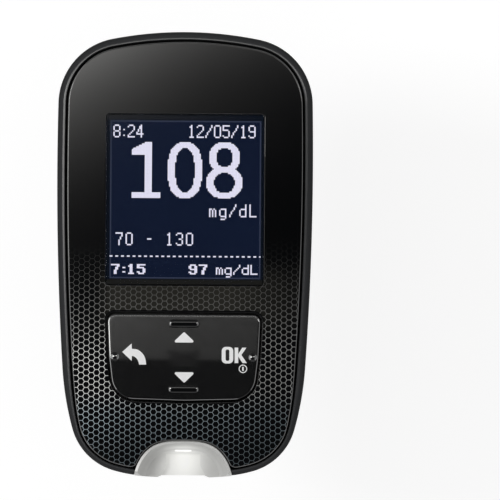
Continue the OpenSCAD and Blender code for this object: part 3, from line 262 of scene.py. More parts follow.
keySettings = dict(
    top=-10.78, foot=-26.45, topReach=13.87, middleReach=13.5, footReach=12.6, footBow=0.35,
    radii=[1.4, 1.4, 25, 4.2, 40, 4.2, 25],
    face=19.6, crest=-19.1, fall=0.42, edgeDrop=0.3, edgeRadius=0.36,
    flangeReach=0.8, flangeLow=15.8, flangeHigh=16.5,
    barLength=5.6, barWidth=1.5, bars=(-12.46, -24.33), barTop=19.95,
    dotReach=12.45, dotRadius=0.8, pivot=-18.5, topLean=0.047, footLean=0.12, topRound=1.6, footRound=4.4,
    edgeNormal=0.985, wallTop=17.9, sideTop=18.4,
    plungers=((0, 5), (0, -5), (10.78, 0), (-10.78, 0)), plungerRadius=1.0, plungerFoot=17.05, rootTop=18.1,
    earReach=2.75, earSize=(2.8, 1.0), earFoot=14.6, boreRadius=0.65, boreHalf=0.7, axleHeight=16.0,
)


def keyLoop(grow, s=keySettings):
    middle = (s["top"] + s["foot"]) / 2
    low = s["foot"] + s["footBow"]
    corners = [(-s["topReach"], s["top"]), (s["topReach"], s["top"]), (s["middleReach"], middle),
               (s["footReach"], low), (0, s["foot"]), (-s["footReach"], low), (-s["middleReach"], middle)]
    return roundedLoop(corners, s["radii"], grow, 14)


lensSettings = dict(
    reach=8.85, depth=6.25, centre=-40.0, power=3.4, downPower=1.4,
    top=19.0, base=11.6, corner=2.0, proud=0.13, gap=0.15,
    lean=[(0, 10.6), (0, 13.5), (0.05, 15.5), (0.25, 17.2), (0.55, 18.4), (0.9, 19.0)],
    scoop=[(2.3, 1.9, 15.15), (2.05, 1.68, 15.25), (1.45, 1.2, 16.0), (0.85, 0.75, 17.7),
           (0.5, 0.48, 18.85), (0.38, 0.36, 19.2)],
    channelFloor=14.2, channelWidth=6.2, channelMouth=8.0, channelTop=15.6, channelEnd=-36.1,
    flareStart=-38.2, flareEnd=-39.6, mouthEnd=-41.08, slotTop=14.9, slotFrom=-36.6, slotTo=-30.7,
    notch=[(-3.85, -39.97), (3.85, -39.97), (5.4, -40.6), (-5.4, -40.6)],
)


def lensLoop(reach, depth, s=lensSettings, steps=220):
    # Superellipse with its own power each way: x and y are the powers 2/n of a circle's cosine and sine
    t = np.pi / 2 - 2 * np.pi * np.arange(steps) / steps
    c, d = np.cos(t), np.sin(t)
    return np.column_stack([reach * np.sign(c) * np.abs(c) ** (2 / s["power"]),
                            s["centre"] + depth * np.sign(d) * np.abs(d) ** (2 / s["downPower"])])


class Wire:
    # A value in a node tree that is worked out with like a number
    def __init__(self, tree, socket):
        self.tree, self.socket = tree, socket

    def __add__(self, other):
        return self.tree.math("ADD", self, other)

    def __sub__(self, other):
        return self.tree.math("SUBTRACT", self, other)

    def __rsub__(self, other):
        return self.tree.math("SUBTRACT", other, self)

    def __mul__(self, other):
        return self.tree.math("MULTIPLY", self, other)

    def __truediv__(self, other):
        return self.tree.math("DIVIDE", self, other)

    def __pow__(self, other):
        return self.tree.math("POWER", self, other)

    def __abs__(self):
        return self.tree.math("ABSOLUTE", self)

    __radd__, __rmul__ = __add__, __mul__


class Tree:
    # Short names for building a node tree; step and slope take millimetres
    def __init__(self, tree, space="Object"):
        self.tree = tree
        self.place = Wire(self, tree.nodes.new("ShaderNodeTexCoord").outputs[space])

    def link(self, source, socket):
        if isinstance(source, Wire):
            self.tree.links.new(source.socket, socket)
        elif isinstance(source, tuple) and socket.type == "RGBA":
            socket.default_value = (*source, 1)
        else:
            socket.default_value = source

    def made(self, kind, inputs, output=0, **settings):
        # A new node with its inputs filled, as the value that it gives out
        node = self.tree.nodes.new(kind)
        for key, value in settings.items():
            setattr(node, key, value)
        for key, value in inputs.items():
            self.link(value, node.inputs[key])
        return Wire(self, node.outputs[output])

    def math(self, operation, *values, clamp=False):
        return self.made("ShaderNodeMath", dict(enumerate(values)), operation=operation, use_clamp=clamp)

    def most(self, *values):
        return self.math("MAXIMUM", *values)

    def least(self, *values):
        return self.math("MINIMUM", *values)

    def axes(self):
        split = self.tree.nodes.new("ShaderNodeSeparateXYZ")
        self.link(self.place, split.inputs[0])
        return [Wire(self, part) for part in split.outputs]

    def rays(self, *kinds):
        path = self.tree.nodes.new("ShaderNodeLightPath")
        return [Wire(self, path.outputs[kind]) for kind in kinds]

    def ramp(self, value, low, high, toLow=0.0, toHigh=1.0, kind="LINEAR"):
        return self.made("ShaderNodeMapRange", {"Value": value, "From Min": low, "From Max": high, "To Min": toLow,
                                                "To Max": toHigh}, "Result", interpolation_type=kind)

    def smooth(self, value, low, high, toLow=0.0, toHigh=1.0):
        return self.ramp(value, low, high, toLow, toHigh, "SMOOTHSTEP")

    def step(self, value, low, high):
        return self.smooth(value, low * mm, high * mm)

    def slope(self, value, low, high, toLow=0.0, toHigh=1.0):
        return self.ramp(value, low * mm, high * mm, toLow, toHigh)

    def noise(self, scale, detail=2.0, roughness=0.5, stretch=None):
        place = self.place
        if stretch:
            place = self.made("ShaderNodeMapping", {"Vector": place, "Scale": stretch}, "Vector")
        return self.made("ShaderNodeTexNoise", {"Vector": place, "Scale": scale, "Detail": detail,
                                                "Roughness": roughness}, "Fac")

    def drift(self, value, toLow, toHigh):
        # A noise's usual spread, brought between two numbers
        return self.ramp(value, 0.3, 0.7, toLow, toHigh)

    def mix(self, factor, a, b):
        # The colour sockets of the mix node
        return self.made("ShaderNodeMix", {0: factor, 6: a, 7: b}, 2, data_type="RGBA")


class Skin(Tree):
    # A material's node tree with its shader
    def __init__(self, name):
        self.material = bpy.data.materials.new(name)
        self.material.use_nodes = True
        super().__init__(self.material.node_tree)
        self.shader = self.tree.nodes["Principled BSDF"]

    def bump(self, height, distance):
        bumped = self.made("ShaderNodeBump", {"Strength": 1.0, "Distance": distance * mm, "Height": height}, "Normal")
        self.link(bumped, self.shader.inputs["Normal"])

    def set(self, **values):
        for key, value in values.items():
            self.link(value, self.shader.inputs[key.replace("_", " ")])


def times(colour, factor):
    return tuple(part * factor for part in colour)


def mouldedPlastic(name, colour, rough, grain=0.35, depth=0.006, specular=0.5, lighter=1.25):
    # Fine spark-eroded grain, with a slow drift of colour and gloss over it
    m = Skin(name)
    fine, slow = m.noise(1000 / grain, 3, 0.55), m.noise(90, 2)
    m.set(Base_Color=m.mix(slow, colour, times(colour, lighter)), Specular_IOR_Level=specular,
          Roughness=m.drift(fine, rough - 0.05, rough + 0.05) + m.drift(slow, -0.03, 0.03))
    m.bump(fine, depth)
    return m.material


def polishedPlastic(name, colour, rough, wave=0.002, **more):
    # Polished moulding: hardly any grain, a faint orange peel and a few rubbed patches
    m = Skin(name)
    peel = m.noise(700, 2)
    rub = m.smooth(m.noise(140, 4, 0.6), 0.52, 0.75)
    m.set(Base_Color=m.mix(peel, colour, times(colour, 1.12)), Roughness=rub * 0.05 + rough, **more)
    m.bump(peel, wave)
    return m.material


def edgeGloss(name, colour, index):
    # Polished edge that catches more light than the faces beside it
    return polishedPlastic(name, colour, 0.08, wave=0.0005, Specular_IOR_Level=1.0, IOR=index)


def rolledMetal(name, colour, rough, stretch):
    # Lines drawn out along one axis, and a slow tarnish
    m = Skin(name)
    lines, tarnish = m.noise(900, 3, 0.6, stretch), m.noise(260, 3, 0.6)
    m.set(Base_Color=m.mix(tarnish, times(colour, 0.85), colour), Metallic=1.0,
          Roughness=m.ramp(lines, 0.25, 0.75, rough - 0.07, rough + 0.09))
    m.bump(lines, 0.003)
    return m.material


def clearPlastic(name, colour, rough, index):
    # Clear moulding with the faintest ripple
    m = Skin(name)
    ripple = m.noise(400, 2)
    m.set(Base_Color=m.mix(ripple, colour, times(colour, 0.97)), Roughness=rough, IOR=index,
          Transmission_Weight=1.0)
    m.bump(ripple, 0.0006)
    return m.material


def splitSkins(piece, skins, chosen):
    # The second skin goes on the faces that the test picks by their direction and middle
    mesh = piece.data
    for skin in skins:
        mesh.materials.append(skin)
    normals, middles = np.zeros(len(mesh.polygons) * 3), np.zeros(len(mesh.polygons) * 3)
    mesh.polygons.foreach_get("normal", normals)
    mesh.polygons.foreach_get("center", middles)
    mesh.polygons.foreach_set("material_index",
                              chosen(normals.reshape(-1, 3), middles.reshape(-1, 3) / mm).astype(int))


def fromKeyEdge(m, x, y, s=keySettings):
    # Distance outwards from the key's outline, taken as a box with round corners and leaning sides
    aboveMiddle = y - (s["top"] + s["foot"]) / 2 * mm
    upper = m.step(aboveMiddle, -1, 1)
    lean = upper * (s["topLean"] - s["footLean"]) + s["footLean"]
    halfWidth = aboveMiddle * lean + s["middleReach"] * mm
    radius = upper * ((s["topRound"] - s["footRound"]) * mm) + s["footRound"] * mm
    keyX = abs(x) - halfWidth + radius
    keyY = abs(aboveMiddle) - (s["top"] - s["foot"]) / 2 * mm + radius
    outX, outY = m.most(keyX, 0.0), m.most(keyY, 0.0)
    corner = m.math("SQRT", outX * outX + outY * outY)
    return corner + m.least(m.most(keyX, keyY), 0.0) - radius, upper, keyY


def honeycombGloss(name, s):
    # Black gloss moulding with a printed silver honeycomb that fades out towards the display, with painted light and
    # shade laid over ink and cells
    m = Skin(name)
    x, y, z = m.axes()
    pitchX, pitchY = s["side"] * 3 * mm, s["side"] * math.sqrt(3) * mm

    def fromCell(axis, start, pitch, shift):
        # Distance from the middle of the nearest cell along one axis, without its sign
        cell = (axis - start * mm) / pitch + shift
        return abs((cell - m.math("ROUND", cell)) * pitch)

    reach = []
    for shift in (0.0, 0.5):
        qx = fromCell(x, s["start"][0], pitchX, shift)
        qy = fromCell(y, s["start"][1], pitchY, shift)
        reach.append(m.most(qy, qx * (math.sqrt(3) / 2) + qy * 0.5))
    toEdge = pitchY / 2 - m.least(*reach)
    line = 1.0 - m.step(toEdge, s["lineWidth"] * 0.32, s["lineWidth"] * 0.62)
    fade = m.slope(y + x * s["fadeLean"], s["fadeTop"], s["fadeFoot"]) ** s["fadePower"]
    grit = m.ramp(m.noise(5000, 2), 0.3, 0.6, 0.75, 1.0)
    # A plain margin round the key's opening and round the strip port
    fromKey, upper, keyY = fromKeyEdge(m, x, y)
    margin = upper * m.step(keyY, 0, 1) * (s["keyTopMargin"] * mm) + s["keyMargin"] * mm
    offKey = m.step(fromKey - margin, 0, 0.08)
    port = lensSettings
    acrossPort = abs(x) / ((port["reach"] + s["portMargin"]) * mm)
    alongPort = abs(y - port["centre"] * mm) / ((port["depth"] + s["portMargin"]) * mm)
    offPort = m.smooth(acrossPort ** port["power"] + alongPort ** port["downPower"], 1.0, 1.05)
    flat = m.step(z, s["high"] - 0.05, s["high"] - 0.02)
    ink = line * fade * grit * offKey * offPort * flat
    # Painted light on the ink: it is painted brighter near the lower left, where the light falls on it, and painted
    # darker towards the right and at the foot, as painted shade
    sideways = m.slope(x, *s["rightShade"], 1.0, s["rightShadeShare"])
    downwards = m.slope(y, *s["footShade"], s["footShare"], 1.0)
    paintedLight = m.step(x, -9, -17) * m.step(y, -12, -22) * m.step(y, -38, -31)
    paintedLight = m.ramp(paintedLight, 0.0, 1.0, s["shadedInkShare"], 1.0)
    ink = m.math("MULTIPLY", ink, paintedLight * sideways * downwards, clamp=True)
    smudge = m.noise(60, 3)
    # Painted sheen: under the window the cells are painted a little lighter and warmer, in a band that dies out
    # downwards, and the ink over it is dimmed
    sheenBand = m.step(y, 0, -6) * m.step(y, -16, -9) * m.step(x, -16.5, -12) * m.slope(x, 8, 19, 1.0, 0.25)
    ink = ink * m.ramp(sheenBand, 0.0, 1.0, 1.0, 0.72)
    ground = m.mix(sheenBand * offKey * m.drift(smudge, 0.85, 1.0), s["black"], s["warmSheen"])
    inkColour = m.mix(m.step(y, -24, -30), s["ink"], s["footInk"])
    m.set(Base_Color=m.mix(ink, ground, inkColour),
          Roughness=ink * 0.25 + s["rough"] + m.ramp(smudge, 0.35, 0.7, 0.0, 0.012))
    m.bump(ink, 0.003)
    return m.material


print("helpers ready")

# Bezel: a deck inside a rim that rises to a fine crest and drops into a groove round the cover
bezelSettings = dict(
    wall=1.65, deckLow=15.9, lipTop=10.05, lip=0.85, seam=9.0,
    side=[(0, 9.35), (0, 10.6), (0, 12), (0, 14.5), (0.01, 16.2), (0.05, 17.2), (0.15, 17.75), (0.35, 18.17),
          (0.6, 18.45), (0.87, 18.63), (1.1, 18.72), (1.3, 18.75)],
    groove=[(1.38, 18.7), (1.45, 18.5), (1.52, 18.1), (1.58, 17.6), (1.62, 17.05)],
    pocket=(32.4, 37.0, 10.6, 0.5), flexRelief=((-9.2, 29.7), (11.6, 4.0)),
    cutLow=14.9, cutHigh=19.2, keyRoom=1.3, connectorRoom=((0, -30.75), (11.0, 5.8)),
    portWidth=8.0, portLow=12.8, portHigh=15.9, portCorner=0.7,
    # The shoulder's paler colour is a painted highlight, and the dark colour is painted shade on the side above the
    # wall colour and in the groove.
    crestFrom=18.69, litFrom=17.4, litTo=18.75, dark=(0.004, 0.0042, 0.0045), pale=(0.03, 0.031, 0.033),
    wallTo=15.0, wallColour=(0.0135, 0.0138, 0.0145),
    bossRadius=1.65, bossReach=19.6, bossRows=(26.0, -8.6), bossLow=13.0,
)


def upright(loop, y):
    # An outline drawn in X and Z, at a place along Y
    return np.column_stack([loop[:, 0], np.full(len(loop), float(y)), loop[:, 1]])


def alongY(name, loop, near, far):
    return stack(name, [upright(loop, near), upright(loop, far)])


def turnedEdge(loop, inwards, start, rise, degrees):
    # Rings of a quarter-round edge: inwards by 1 - cosine and up by the sine of each angle
    return [atHeight(movedIn(loop, inwards * (1 - math.cos(t))), start + rise * math.sin(t))
            for t in np.radians(degrees)]


def circle(radius, count, x=0.0, y=0.0):
    # Clockwise seen from above
    t = -2 * np.pi * np.arange(count) / count
    return np.column_stack([x + radius * np.cos(t), y + radius * np.sin(t)])


def lensBlank(grow, s=lensSettings, edge=0.0, high=20.0):
    # The port's superellipse as a block, with its lower corners rounded as seen from the foot
    low = s["base"] - grow
    plan = lensLoop(s["reach"] + grow, s["depth"] + grow)
    upper = turnedEdge(plan, edge, high - edge, edge, (0, 22, 45, 67, 90)) if edge else [atHeight(plan, high)]
    blank = stack("blank", [atHeight(plan, low - 0.5)] + upper)
    half = s["reach"] + grow - 0.05
    front = boxLoop(2 * half, 24, low + 12, s["corner"], steps=14)
    return carve(blank, [alongY("front", front, s["centre"] - 8, s["centre"] + 12)], "INTERSECT")


def post(name, x, y, radius, low, high):
    return plate(name, circle(radius, 40, x, y), low, high)


def makeBezel(s, skin, crestSkin):
    rings = [atHeight(rimLoop(s["wall"]), s["deckLow"]), atHeight(rimLoop(s["wall"]), s["lipTop"])]
    rings += [atHeight(levelLoop(inset), z) for inset, z in
              [(s["lip"], s["seam"] + 1), (s["lip"], s["seam"]), (0.3, s["seam"]), (0.15, s["seam"] + 0.02),
               (0.05, s["seam"] + 0.08), (0.01, s["seam"] + 0.18)]]
    rings += [atHeight(rimLoop(inset), z) for inset, z in smoothRun(s["side"], 4)]
    rings += [atHeight(rimLoop(inset), z) for inset, z in s["groove"]]
    bezel = stack("bezel", rings)
    carve(bezel, [post("boss", side * s["bossReach"], y, s["bossRadius"], s["bossLow"], s["deckLow"] + 0.2)
                  for side in (-1, 1) for y in s["bossRows"]], "UNION")
    width, length, middle, corner = s["pocket"]
    port = boxLoop(s["portWidth"], s["portHigh"] - s["portLow"], (s["portHigh"] + s["portLow"]) / 2,
                   s["portCorner"])
    carve(bezel, [
        plate("pocket", boxLoop(width, length, middle, corner), s["cutLow"], s["cutHigh"]),
        box("relief", *s["flexRelief"], s["cutLow"], s["cutHigh"]),
        plate("keyRoom", evenly(keyLoop(s["keyRoom"]), 240), s["cutLow"], s["cutHigh"]),
        lensBlank(lensSettings["gap"]),
        box("connectorRoom", *s["connectorRoom"], s["cutLow"], s["cutHigh"]),
        alongY("port", port, caseTop - 2, caseTop + 2),
        plate("mouth", np.array(lensSettings["notch"]), 8, 20),
    ])
    splitSkins(bezel, (skin, crestSkin), lambda normals, middles: middles[:, 2] > s["crestFrom"])
    return fit(smooth(bezel), "case", "bezel_plastic", "front_bezel")


def shoulderPlastic(name, s):
    # Satin black with fine grain. Painted shade darkens the side above the wall colour and in the groove, and a
    # painted highlight makes the shoulder paler towards the crest, where it turns up to the light
    m = Skin(name)
    x, y, z = m.axes()
    fine, slow = m.noise(3300, 3, 0.55), m.noise(90, 2)
    # painted highlight towards the crest, over painted shade from the wall up into the groove
    pale = m.step(z, s["litFrom"], s["litTo"]) * m.drift(slow, 0.9, 1.0)
    wall = m.mix(m.step(z, s["wallTo"], s["litFrom"]), s["wallColour"], s["dark"])
    m.set(Base_Color=m.mix(pale, wall, s["pale"]), Specular_IOR_Level=0.1, Roughness=m.drift(fine, 0.72, 0.8))
    m.bump(fine, 0.003)
    return m.material


bezelSkin = shoulderPlastic("bezelBlack", bezelSettings)
# The crest's skin carries on the shoulder's painted highlight colour, with a glossier finish.
crestSkin = polishedPlastic("bezelCrest", (0.035, 0.036, 0.038), 0.24)
makeBezel(bezelSettings, bezelSkin, crestSkin)
print("bezel ready")

# Gloss cover: one sheet with the strip port's bite taken out of its foot
coverSettings = dict(
    inset=1.86, low=17.2, high=19.2, edge=0.25, corner=0.95, portGap=0.2, points=760,
    window=(28.75, 31.18, 9.92, 0.7), rebate=(30.75, 33.18, 0.5, 0.15), rebateTop=18.15,
    keyGap=0.37, mouthEdge=0.12, windowEdge=0.06,
    side=0.6255, start=(0.22, 0.8), lineWidth=0.104, fadeTop=4.5, fadeFoot=-17.0, fadePower=2.3,
    keyMargin=0.5, keyTopMargin=0.2,
    # The fades and shares of the ink set painted light and shade on it: brighter at the lower left, darker to the
    # right and at the foot.
    portMargin=0.32, rightShade=(-14, 16), footShade=(-37, -25),
    # The warm colour on the next line is a painted sheen on the cells under the window.
    ink=(0.9, 0.9, 0.87), black=(0.002, 0.0022, 0.0026), warmSheen=(0.0238, 0.0228, 0.0193),
    shadedInkShare=0.68, rightShadeShare=0.5, footShare=0.35, footInk=(0.6, 0.72, 0.78), fadeLean=-0.03, rough=0.075,
)


def coverLoop(s):
    # The rim's own line down to the port, then back over the port's arch, with the two corners rounded
    rim = rimLoop(s["inset"])
    reach, depth = lensSettings["reach"] + s["portGap"], lensSettings["depth"] + s["portGap"]
    inside = ((np.abs(rim[:, 0]) / reach) ** lensSettings["power"]
              + (np.abs(rim[:, 1] - lensSettings["centre"]) / depth) ** lensSettings["downPower"]) < 1
    first = int(np.argmax(inside))
    foot = rim[first, 1]
    arch = lensLoop(reach, depth, steps=600)
    arch = arch[arch[:, 1] > foot]
    arch = arch[np.argsort(-arch[:, 0])]
    right, left = rim[:first], rim[first + int(inside[first:].sum()):]
    line = evenly(np.vstack([right, arch, left]), s["points"])
    step = np.linalg.norm(line[1] - line[0])
    span = int(round(s["corner"] / step))
    for x in (right[-1, 0], left[0, 0]):
        corner = int(np.argmin(np.linalg.norm(line - [x, right[-1, 1]], axis=1)))
        a, b, c = line[corner - span], line[corner], line[corner + span]
        t = np.linspace(0, 1, 2 * span + 1)[:, None]
        line[corner - span:corner + span + 1] = (1 - t) ** 2 * a + 2 * t * (1 - t) * b + t ** 2 * c
    return evenly(line, s["points"])


def flaredCutter(name, loop, low, high, edge):
    # Straight cut that opens in a small round at the face it comes out of
    rings = [atHeight(loop, low)] + turnedEdge(loop, -edge, high - edge, edge, (0, 30, 60, 90))
    return stack(name, rings + [atHeight(movedIn(loop, -edge), high + 0.8)])


def makeCover(s, skin, edgeSkin):
    loop = coverLoop(s)
    cover = stack("glossCover", [atHeight(loop, s["low"])] + turnedEdge(
        loop, s["edge"], s["high"] - s["edge"], s["edge"], (0, 18, 36, 54, 72, 90)))
    width, length, middle, corner = s["window"]
    opening = evenly(boxLoop(width, length, middle, corner, steps=12), 360)
    flangeWidth, flangeLength, flangeCorner, flangeGap = s["rebate"]
    carve(cover, [
        flaredCutter("window", opening, 16, s["high"], s["windowEdge"]),
        plate("rebate", boxLoop(flangeWidth, flangeLength, middle, flangeCorner, flangeGap), 16, s["rebateTop"]),
        flaredCutter("keyMouth", evenly(keyLoop(s["keyGap"]), 360), 16, s["high"], s["mouthEdge"]),
    ])

    def edges(normals, middles):
        # The outer round edge only, not the edges of the openings
        tilted = (normals[:, 2] < 0.97) & (normals[:, 2] > 0.1) & (middles[:, 2] > s["high"] - s["edge"])
        beside = np.abs(middles[:, 1] + 4.6) > 22.3
        return tilted & (beside | (np.abs(middles[:, 0]) > 16.2))

    splitSkins(cover, (skin, edgeSkin), edges)
    return fit(smooth(cover), "case", "cover_gloss", "front_cover")


coverSkin = honeycombGloss("honeycombGloss", coverSettings)
makeCover(coverSettings, coverSkin, edgeGloss("coverEdge", (0.004, 0.0042, 0.0046), 1.75))
print("cover ready")

# Pane: clear acrylic with a hidden flange
paneSettings = dict(width=28.45, length=30.88, corner=0.55, middle=9.92, low=17.2, top=19.08, edge=0.09,
                    flangeWidth=30.75, flangeLength=33.18, flangeCorner=0.5, flangeTop=18.1)


def makePane(s, skin):
    wide = evenly(boxLoop(s["flangeWidth"], s["flangeLength"], s["middle"], s["flangeCorner"]), 320)
    narrow = evenly(boxLoop(s["width"], s["length"], s["middle"], s["corner"]), 320)
    pane = stack("displayPane", [
        atHeight(wide, s["low"]), atHeight(wide, s["flangeTop"]), atHeight(narrow, s["flangeTop"]),
        atHeight(narrow, s["top"] - s["edge"]), atHeight(movedIn(narrow, s["edge"] * 0.3), s["top"] - s["edge"] * 0.3),
        atHeight(movedIn(narrow, s["edge"]), s["top"])], [skin])
    return fit(smooth(pane), "case", "window_acrylic", "display_window")


makePane(paneSettings, clearPlastic("clearAcrylic", (0.97, 0.98, 0.985), 0.03, 1.2))

# Display picture: square cells of light, drawn from rows of marks
pictureSettings = dict(
    cell=0.26, columns=105, rows=110, middle=(0.1, 9.95),
    groundWidth=28.2, groundLength=30.6, low=16.96, ground=17.06, high=17.1,
    words=[("8:24", 2, 3, 6), ("12/05/19", 54, 3, 6), ("mg/dL", 69, 58, 7), ("70 - 130", 4, 78, 7)],
    digits=[("1", 15), ("0", 40), ("8", 67)], digitRow=15, dottedRow=94,
    footWords=[("7:15", 1, True), ("97", 55, True), ("mg/dL", 74, False)], footRow=100, footPitch=6,
    # The frame's emission colours are painted light, the top one a painted reflection.
    border=1.0, maskReflection=(0.014, 0.0146, 0.016), maskSides=(0.003, 0.0052, 0.01), maskFoot=(0.0105, 0.0105, 0.0095),
)
glyphs = {
    "0": ".###. #...# #...# #...# #...# #...# #...# #...# .###.",
    "1": "..#.. .##.. ..#.. ..#.. ..#.. ..#.. ..#.. ..#.. .###.",
    "2": ".###. #...# ....# ....# ...#. ..#.. .#... #.... #####",
    "3": ".###. #...# ....# ....# ..##. ....# ....# #...# .###.",
    "4": "...#. ..##. ..##. .#.#. .#.#. #..#. ##### ...#. ...#.",
    "5": "##### #.... #.... ####. ....# ....# ....# #...# .###.",
    "7": "##### ....# ....# ...#. ...#. ..#.. ..#.. ..#.. ..#..",
    "8": ".###. #...# #...# #...# .###. #...# #...# #...# .###.",
    "9": ".###. #...# #...# #...# .#### ....# ....# #...# .###.",
    ":": "... ... ... .#. ... ... ... .#. ...",
    "/": "....# ....# ...#. ...#. ..#.. .#... .#... #.... #....",
    "-": "..... ..... ..... ..... .###. ..... ..... ..... .....",
    " ": "..... ..... ..... ..... ..... ..... ..... ..... .....",
    "m": "..... ..... ..... ##.#. #.#.# #.#.# #.#.# #.#.# #.#.#",
    "d": "....# ....# ....# .#### #...# #...# #...# #...# .####",
    "L": "#.... #.... #.... #.... #.... #.... #.... #.... #####",
    "g": "..... ..... ..... .#### #...# #...# #...# #...# .#### ....# .###.",
}


def writeCells(cells, words, column, row, pitch, low=False, bold=False):
    # Puts the words' marks into the cells; low words are two rows shorter, bold ones a cell wider in the stroke
    for letter in words:
        marks = np.array([[c == "#" for c in line] for line in glyphs[letter].split()])
        if low:
            marks = np.delete(marks, (2, 6), axis=0)
        if bold:
            marks = np.pad(marks, ((0, 0), (0, 1)))
            marks[:, 1:] |= marks[:, :-1]
        marks = marks[:cells.shape[0] - row, :cells.shape[1] - column]
        high, wide = marks.shape
        cells[row:row + high, column:column + wide] |= marks
        column += pitch - (5 - glyphs[letter].index(" ")) + (1 if bold and letter != ":" else 0)


def bigDigit(cells, digit, column, row, wide=25, high=39):
    # Large numerals: ovals with oval holes, and a stem with a slanted flag and a foot
    y, x = np.mgrid[0:high, 0:wide] + 0.5

    def oval(middleX, middleY, reachX, reachY, power=2.5):
        return np.abs((x - middleX) / reachX) ** power + np.abs((y - middleY) / reachY) ** power <= 1

    if digit == "1":
        stem = (x > 9) & (x < 14.2)
        foot = (y > high - 4) & (x < 20)
        flag = (x <= 9.5) & (y > 5 - x * 0.5) & (y < 9.2)
        marks = stem | foot | flag
    elif digit == "0":
        marks = oval(12, high / 2, 12, high / 2) & ~oval(12, high / 2, 6.8, high / 2 - 4, 2.3)
    else:
        marks = oval(12.5, 10.4, 10.8, 10.4, 2.3) | oval(12.5, 28, 12.5, 11, 2.3)
        marks &= ~oval(12.5, 10.5, 5.8, 6.6, 2.2) & ~oval(12.5, 28.2, 7.2, 7.0, 2.2)
    cells[row:row + high, column:column + wide] |= marks


def drawPicture(s):
    cells = np.zeros((s["rows"], s["columns"]), bool)
    for words, column, row, pitch in s["words"]:
        writeCells(cells, words, column, row, pitch)
    for digit, column in s["digits"]:
        bigDigit(cells, digit, column, s["digitRow"])
    cells[s["dottedRow"], np.arange(s["columns"]) % 4 < 2] = True
    for words, column, bold in s["footWords"]:
        writeCells(cells, words, column, s["footRow"], s["footPitch"], low=True, bold=bold)
    return cells


def litRectangles(cells):
    # Each run of lit cells in a row, joined with the same run in the rows below it
    found, growing = [], {}
    for row in range(len(cells) + 1):
        line = cells[row] if row < len(cells) else np.zeros(cells.shape[1], bool)
        edges = np.flatnonzero(np.diff(np.concatenate([[0], line.astype(int), [0]])))
        runs = {(int(a), int(b)) for a, b in zip(edges[::2], edges[1::2])}
        for run in [r for r in growing if r not in runs]:
            found.append((*run, growing.pop(run), row))
        for run in runs:
            growing.setdefault(run, row)
    return np.array(sorted(found), float)


def slabs(name, edges, low, high, material):
    # Flat boxes in one mesh, each from its left, right, foot and top edge
    left, right, foot, top = np.atleast_2d(edges).T
    x, y = np.stack([left, right, right, left], 1), np.stack([foot, foot, top, top], 1)
    points = np.concatenate([np.stack([x, y, np.full_like(x, z)], -1) for z in (low, high)], 1)
    corners = np.array([[3, 2, 1, 0], [4, 5, 6, 7], [0, 1, 5, 4], [1, 2, 6, 5], [2, 3, 7, 6], [3, 0, 4, 7]])
    faces = corners[None] + 8 * np.arange(len(left))[:, None, None]
    return makeMesh(name, points.reshape(-1, 3), faces.reshape(-1, 4), [material])


def glowing(name, colour, glow, s, gapShade):
    # Light from behind the glass, with the thin dark lines between the display's cells
    m = Skin(name)
    x, y, z = m.axes()
    shade = []
    for axis, origin in ((x, s["middle"][0] - s["columns"] * s["cell"] / 2),
                         (y, s["middle"][1] - s["rows"] * s["cell"] / 2)):
        place = m.math("FRACT", (axis - origin * mm) / (s["cell"] * mm))
        shade.append(m.ramp(0.5 - abs(place - 0.5), 0.03, 0.07, gapShade, 1.0))
    m.set(Base_Color=colour, Roughness=1.0, Specular_IOR_Level=0.0, Emission_Strength=1.0,
          Emission_Color=m.mix(shade[0] * shade[1], (0.0, 0.0, 0.0), glow))
    return m.material


def makePicture(s, maskSkin, groundSkin, borderSkin, litSkin):
    width, height, w = s["columns"] * s["cell"], s["rows"] * s["cell"], s["border"] * s["cell"]
    x0, y0 = s["middle"][0] - width / 2, s["middle"][1] - height / 2
    x1, y1 = x0 + width, y0 + height
    middle, x, y = paneSettings["middle"], s["groundWidth"] / 2, s["groundLength"] / 2
    cells = litRectangles(drawPicture(s)) * s["cell"]
    for piece in (
            slabs("displaySurround", [-x, x, middle - y, middle + y], s["low"], s["ground"] - 0.03, maskSkin),
            slabs("displayGround", [x0, x1, y0, y1], s["low"] + 0.02, s["ground"], groundSkin),
            slabs("displayPicture", np.column_stack([x0 + cells[:, 0], x0 + cells[:, 1], y1 - cells[:, 3],
                                                     y1 - cells[:, 2]]), s["ground"] - 0.01, s["high"], litSkin),
            slabs("displayBorder", [[x0, x1, y1 - w, y1], [x0, x1, y0, y0 + w], [x0, x0 + w, y0 + w, y1 - w],
                                    [x1 - w, x1, y0 + w, y1 - w]], s["ground"] - 0.01, s["high"] - 0.015, borderSkin)):
        fit(piece, "case", "polariser_film")


def maskShade(name, s):
    # Frame round the picture, printed navy and shown by emission, which is painted light: paler at the top left as a
    # painted reflection that fades to the right, and painted a little paler along the foot
    m = Skin(name)
    x, y, z = m.axes()
    top, foot = (s["middle"][1] + side * s["rows"] * s["cell"] / 2 for side in (1, -1))
    topShade = m.mix(m.slope(x, -14, 14), s["maskReflection"], s["maskSides"])
    shade = m.mix(m.step(y, top, top + 0.3), s["maskSides"], topShade)
    m.set(Base_Color=(0.002, 0.002, 0.003), Roughness=m.drift(m.noise(1500, 2), 0.9, 1.0), Specular_IOR_Level=0.0,
          Emission_Color=m.mix(m.step(y, foot, foot - 0.3), shade, s["maskFoot"]), Emission_Strength=1.0)
    return m.material


displaySkins = [maskShade("displayMask", pictureSettings)] + [
    glowing("display" + name, colour, glow, pictureSettings, gapShade) for name, colour, glow, gapShade in (
        ("Navy", (0.002, 0.003, 0.006), (0.0048, 0.0085, 0.024), 0.6),
        ("BorderBlue", (0.002, 0.003, 0.006), (0.03, 0.037, 0.066), 0.8),
        ("Light", (0.02, 0.02, 0.02), (0.80, 0.78, 0.94), 0.72))]
makePicture(pictureSettings, *displaySkins)
print("display ready")


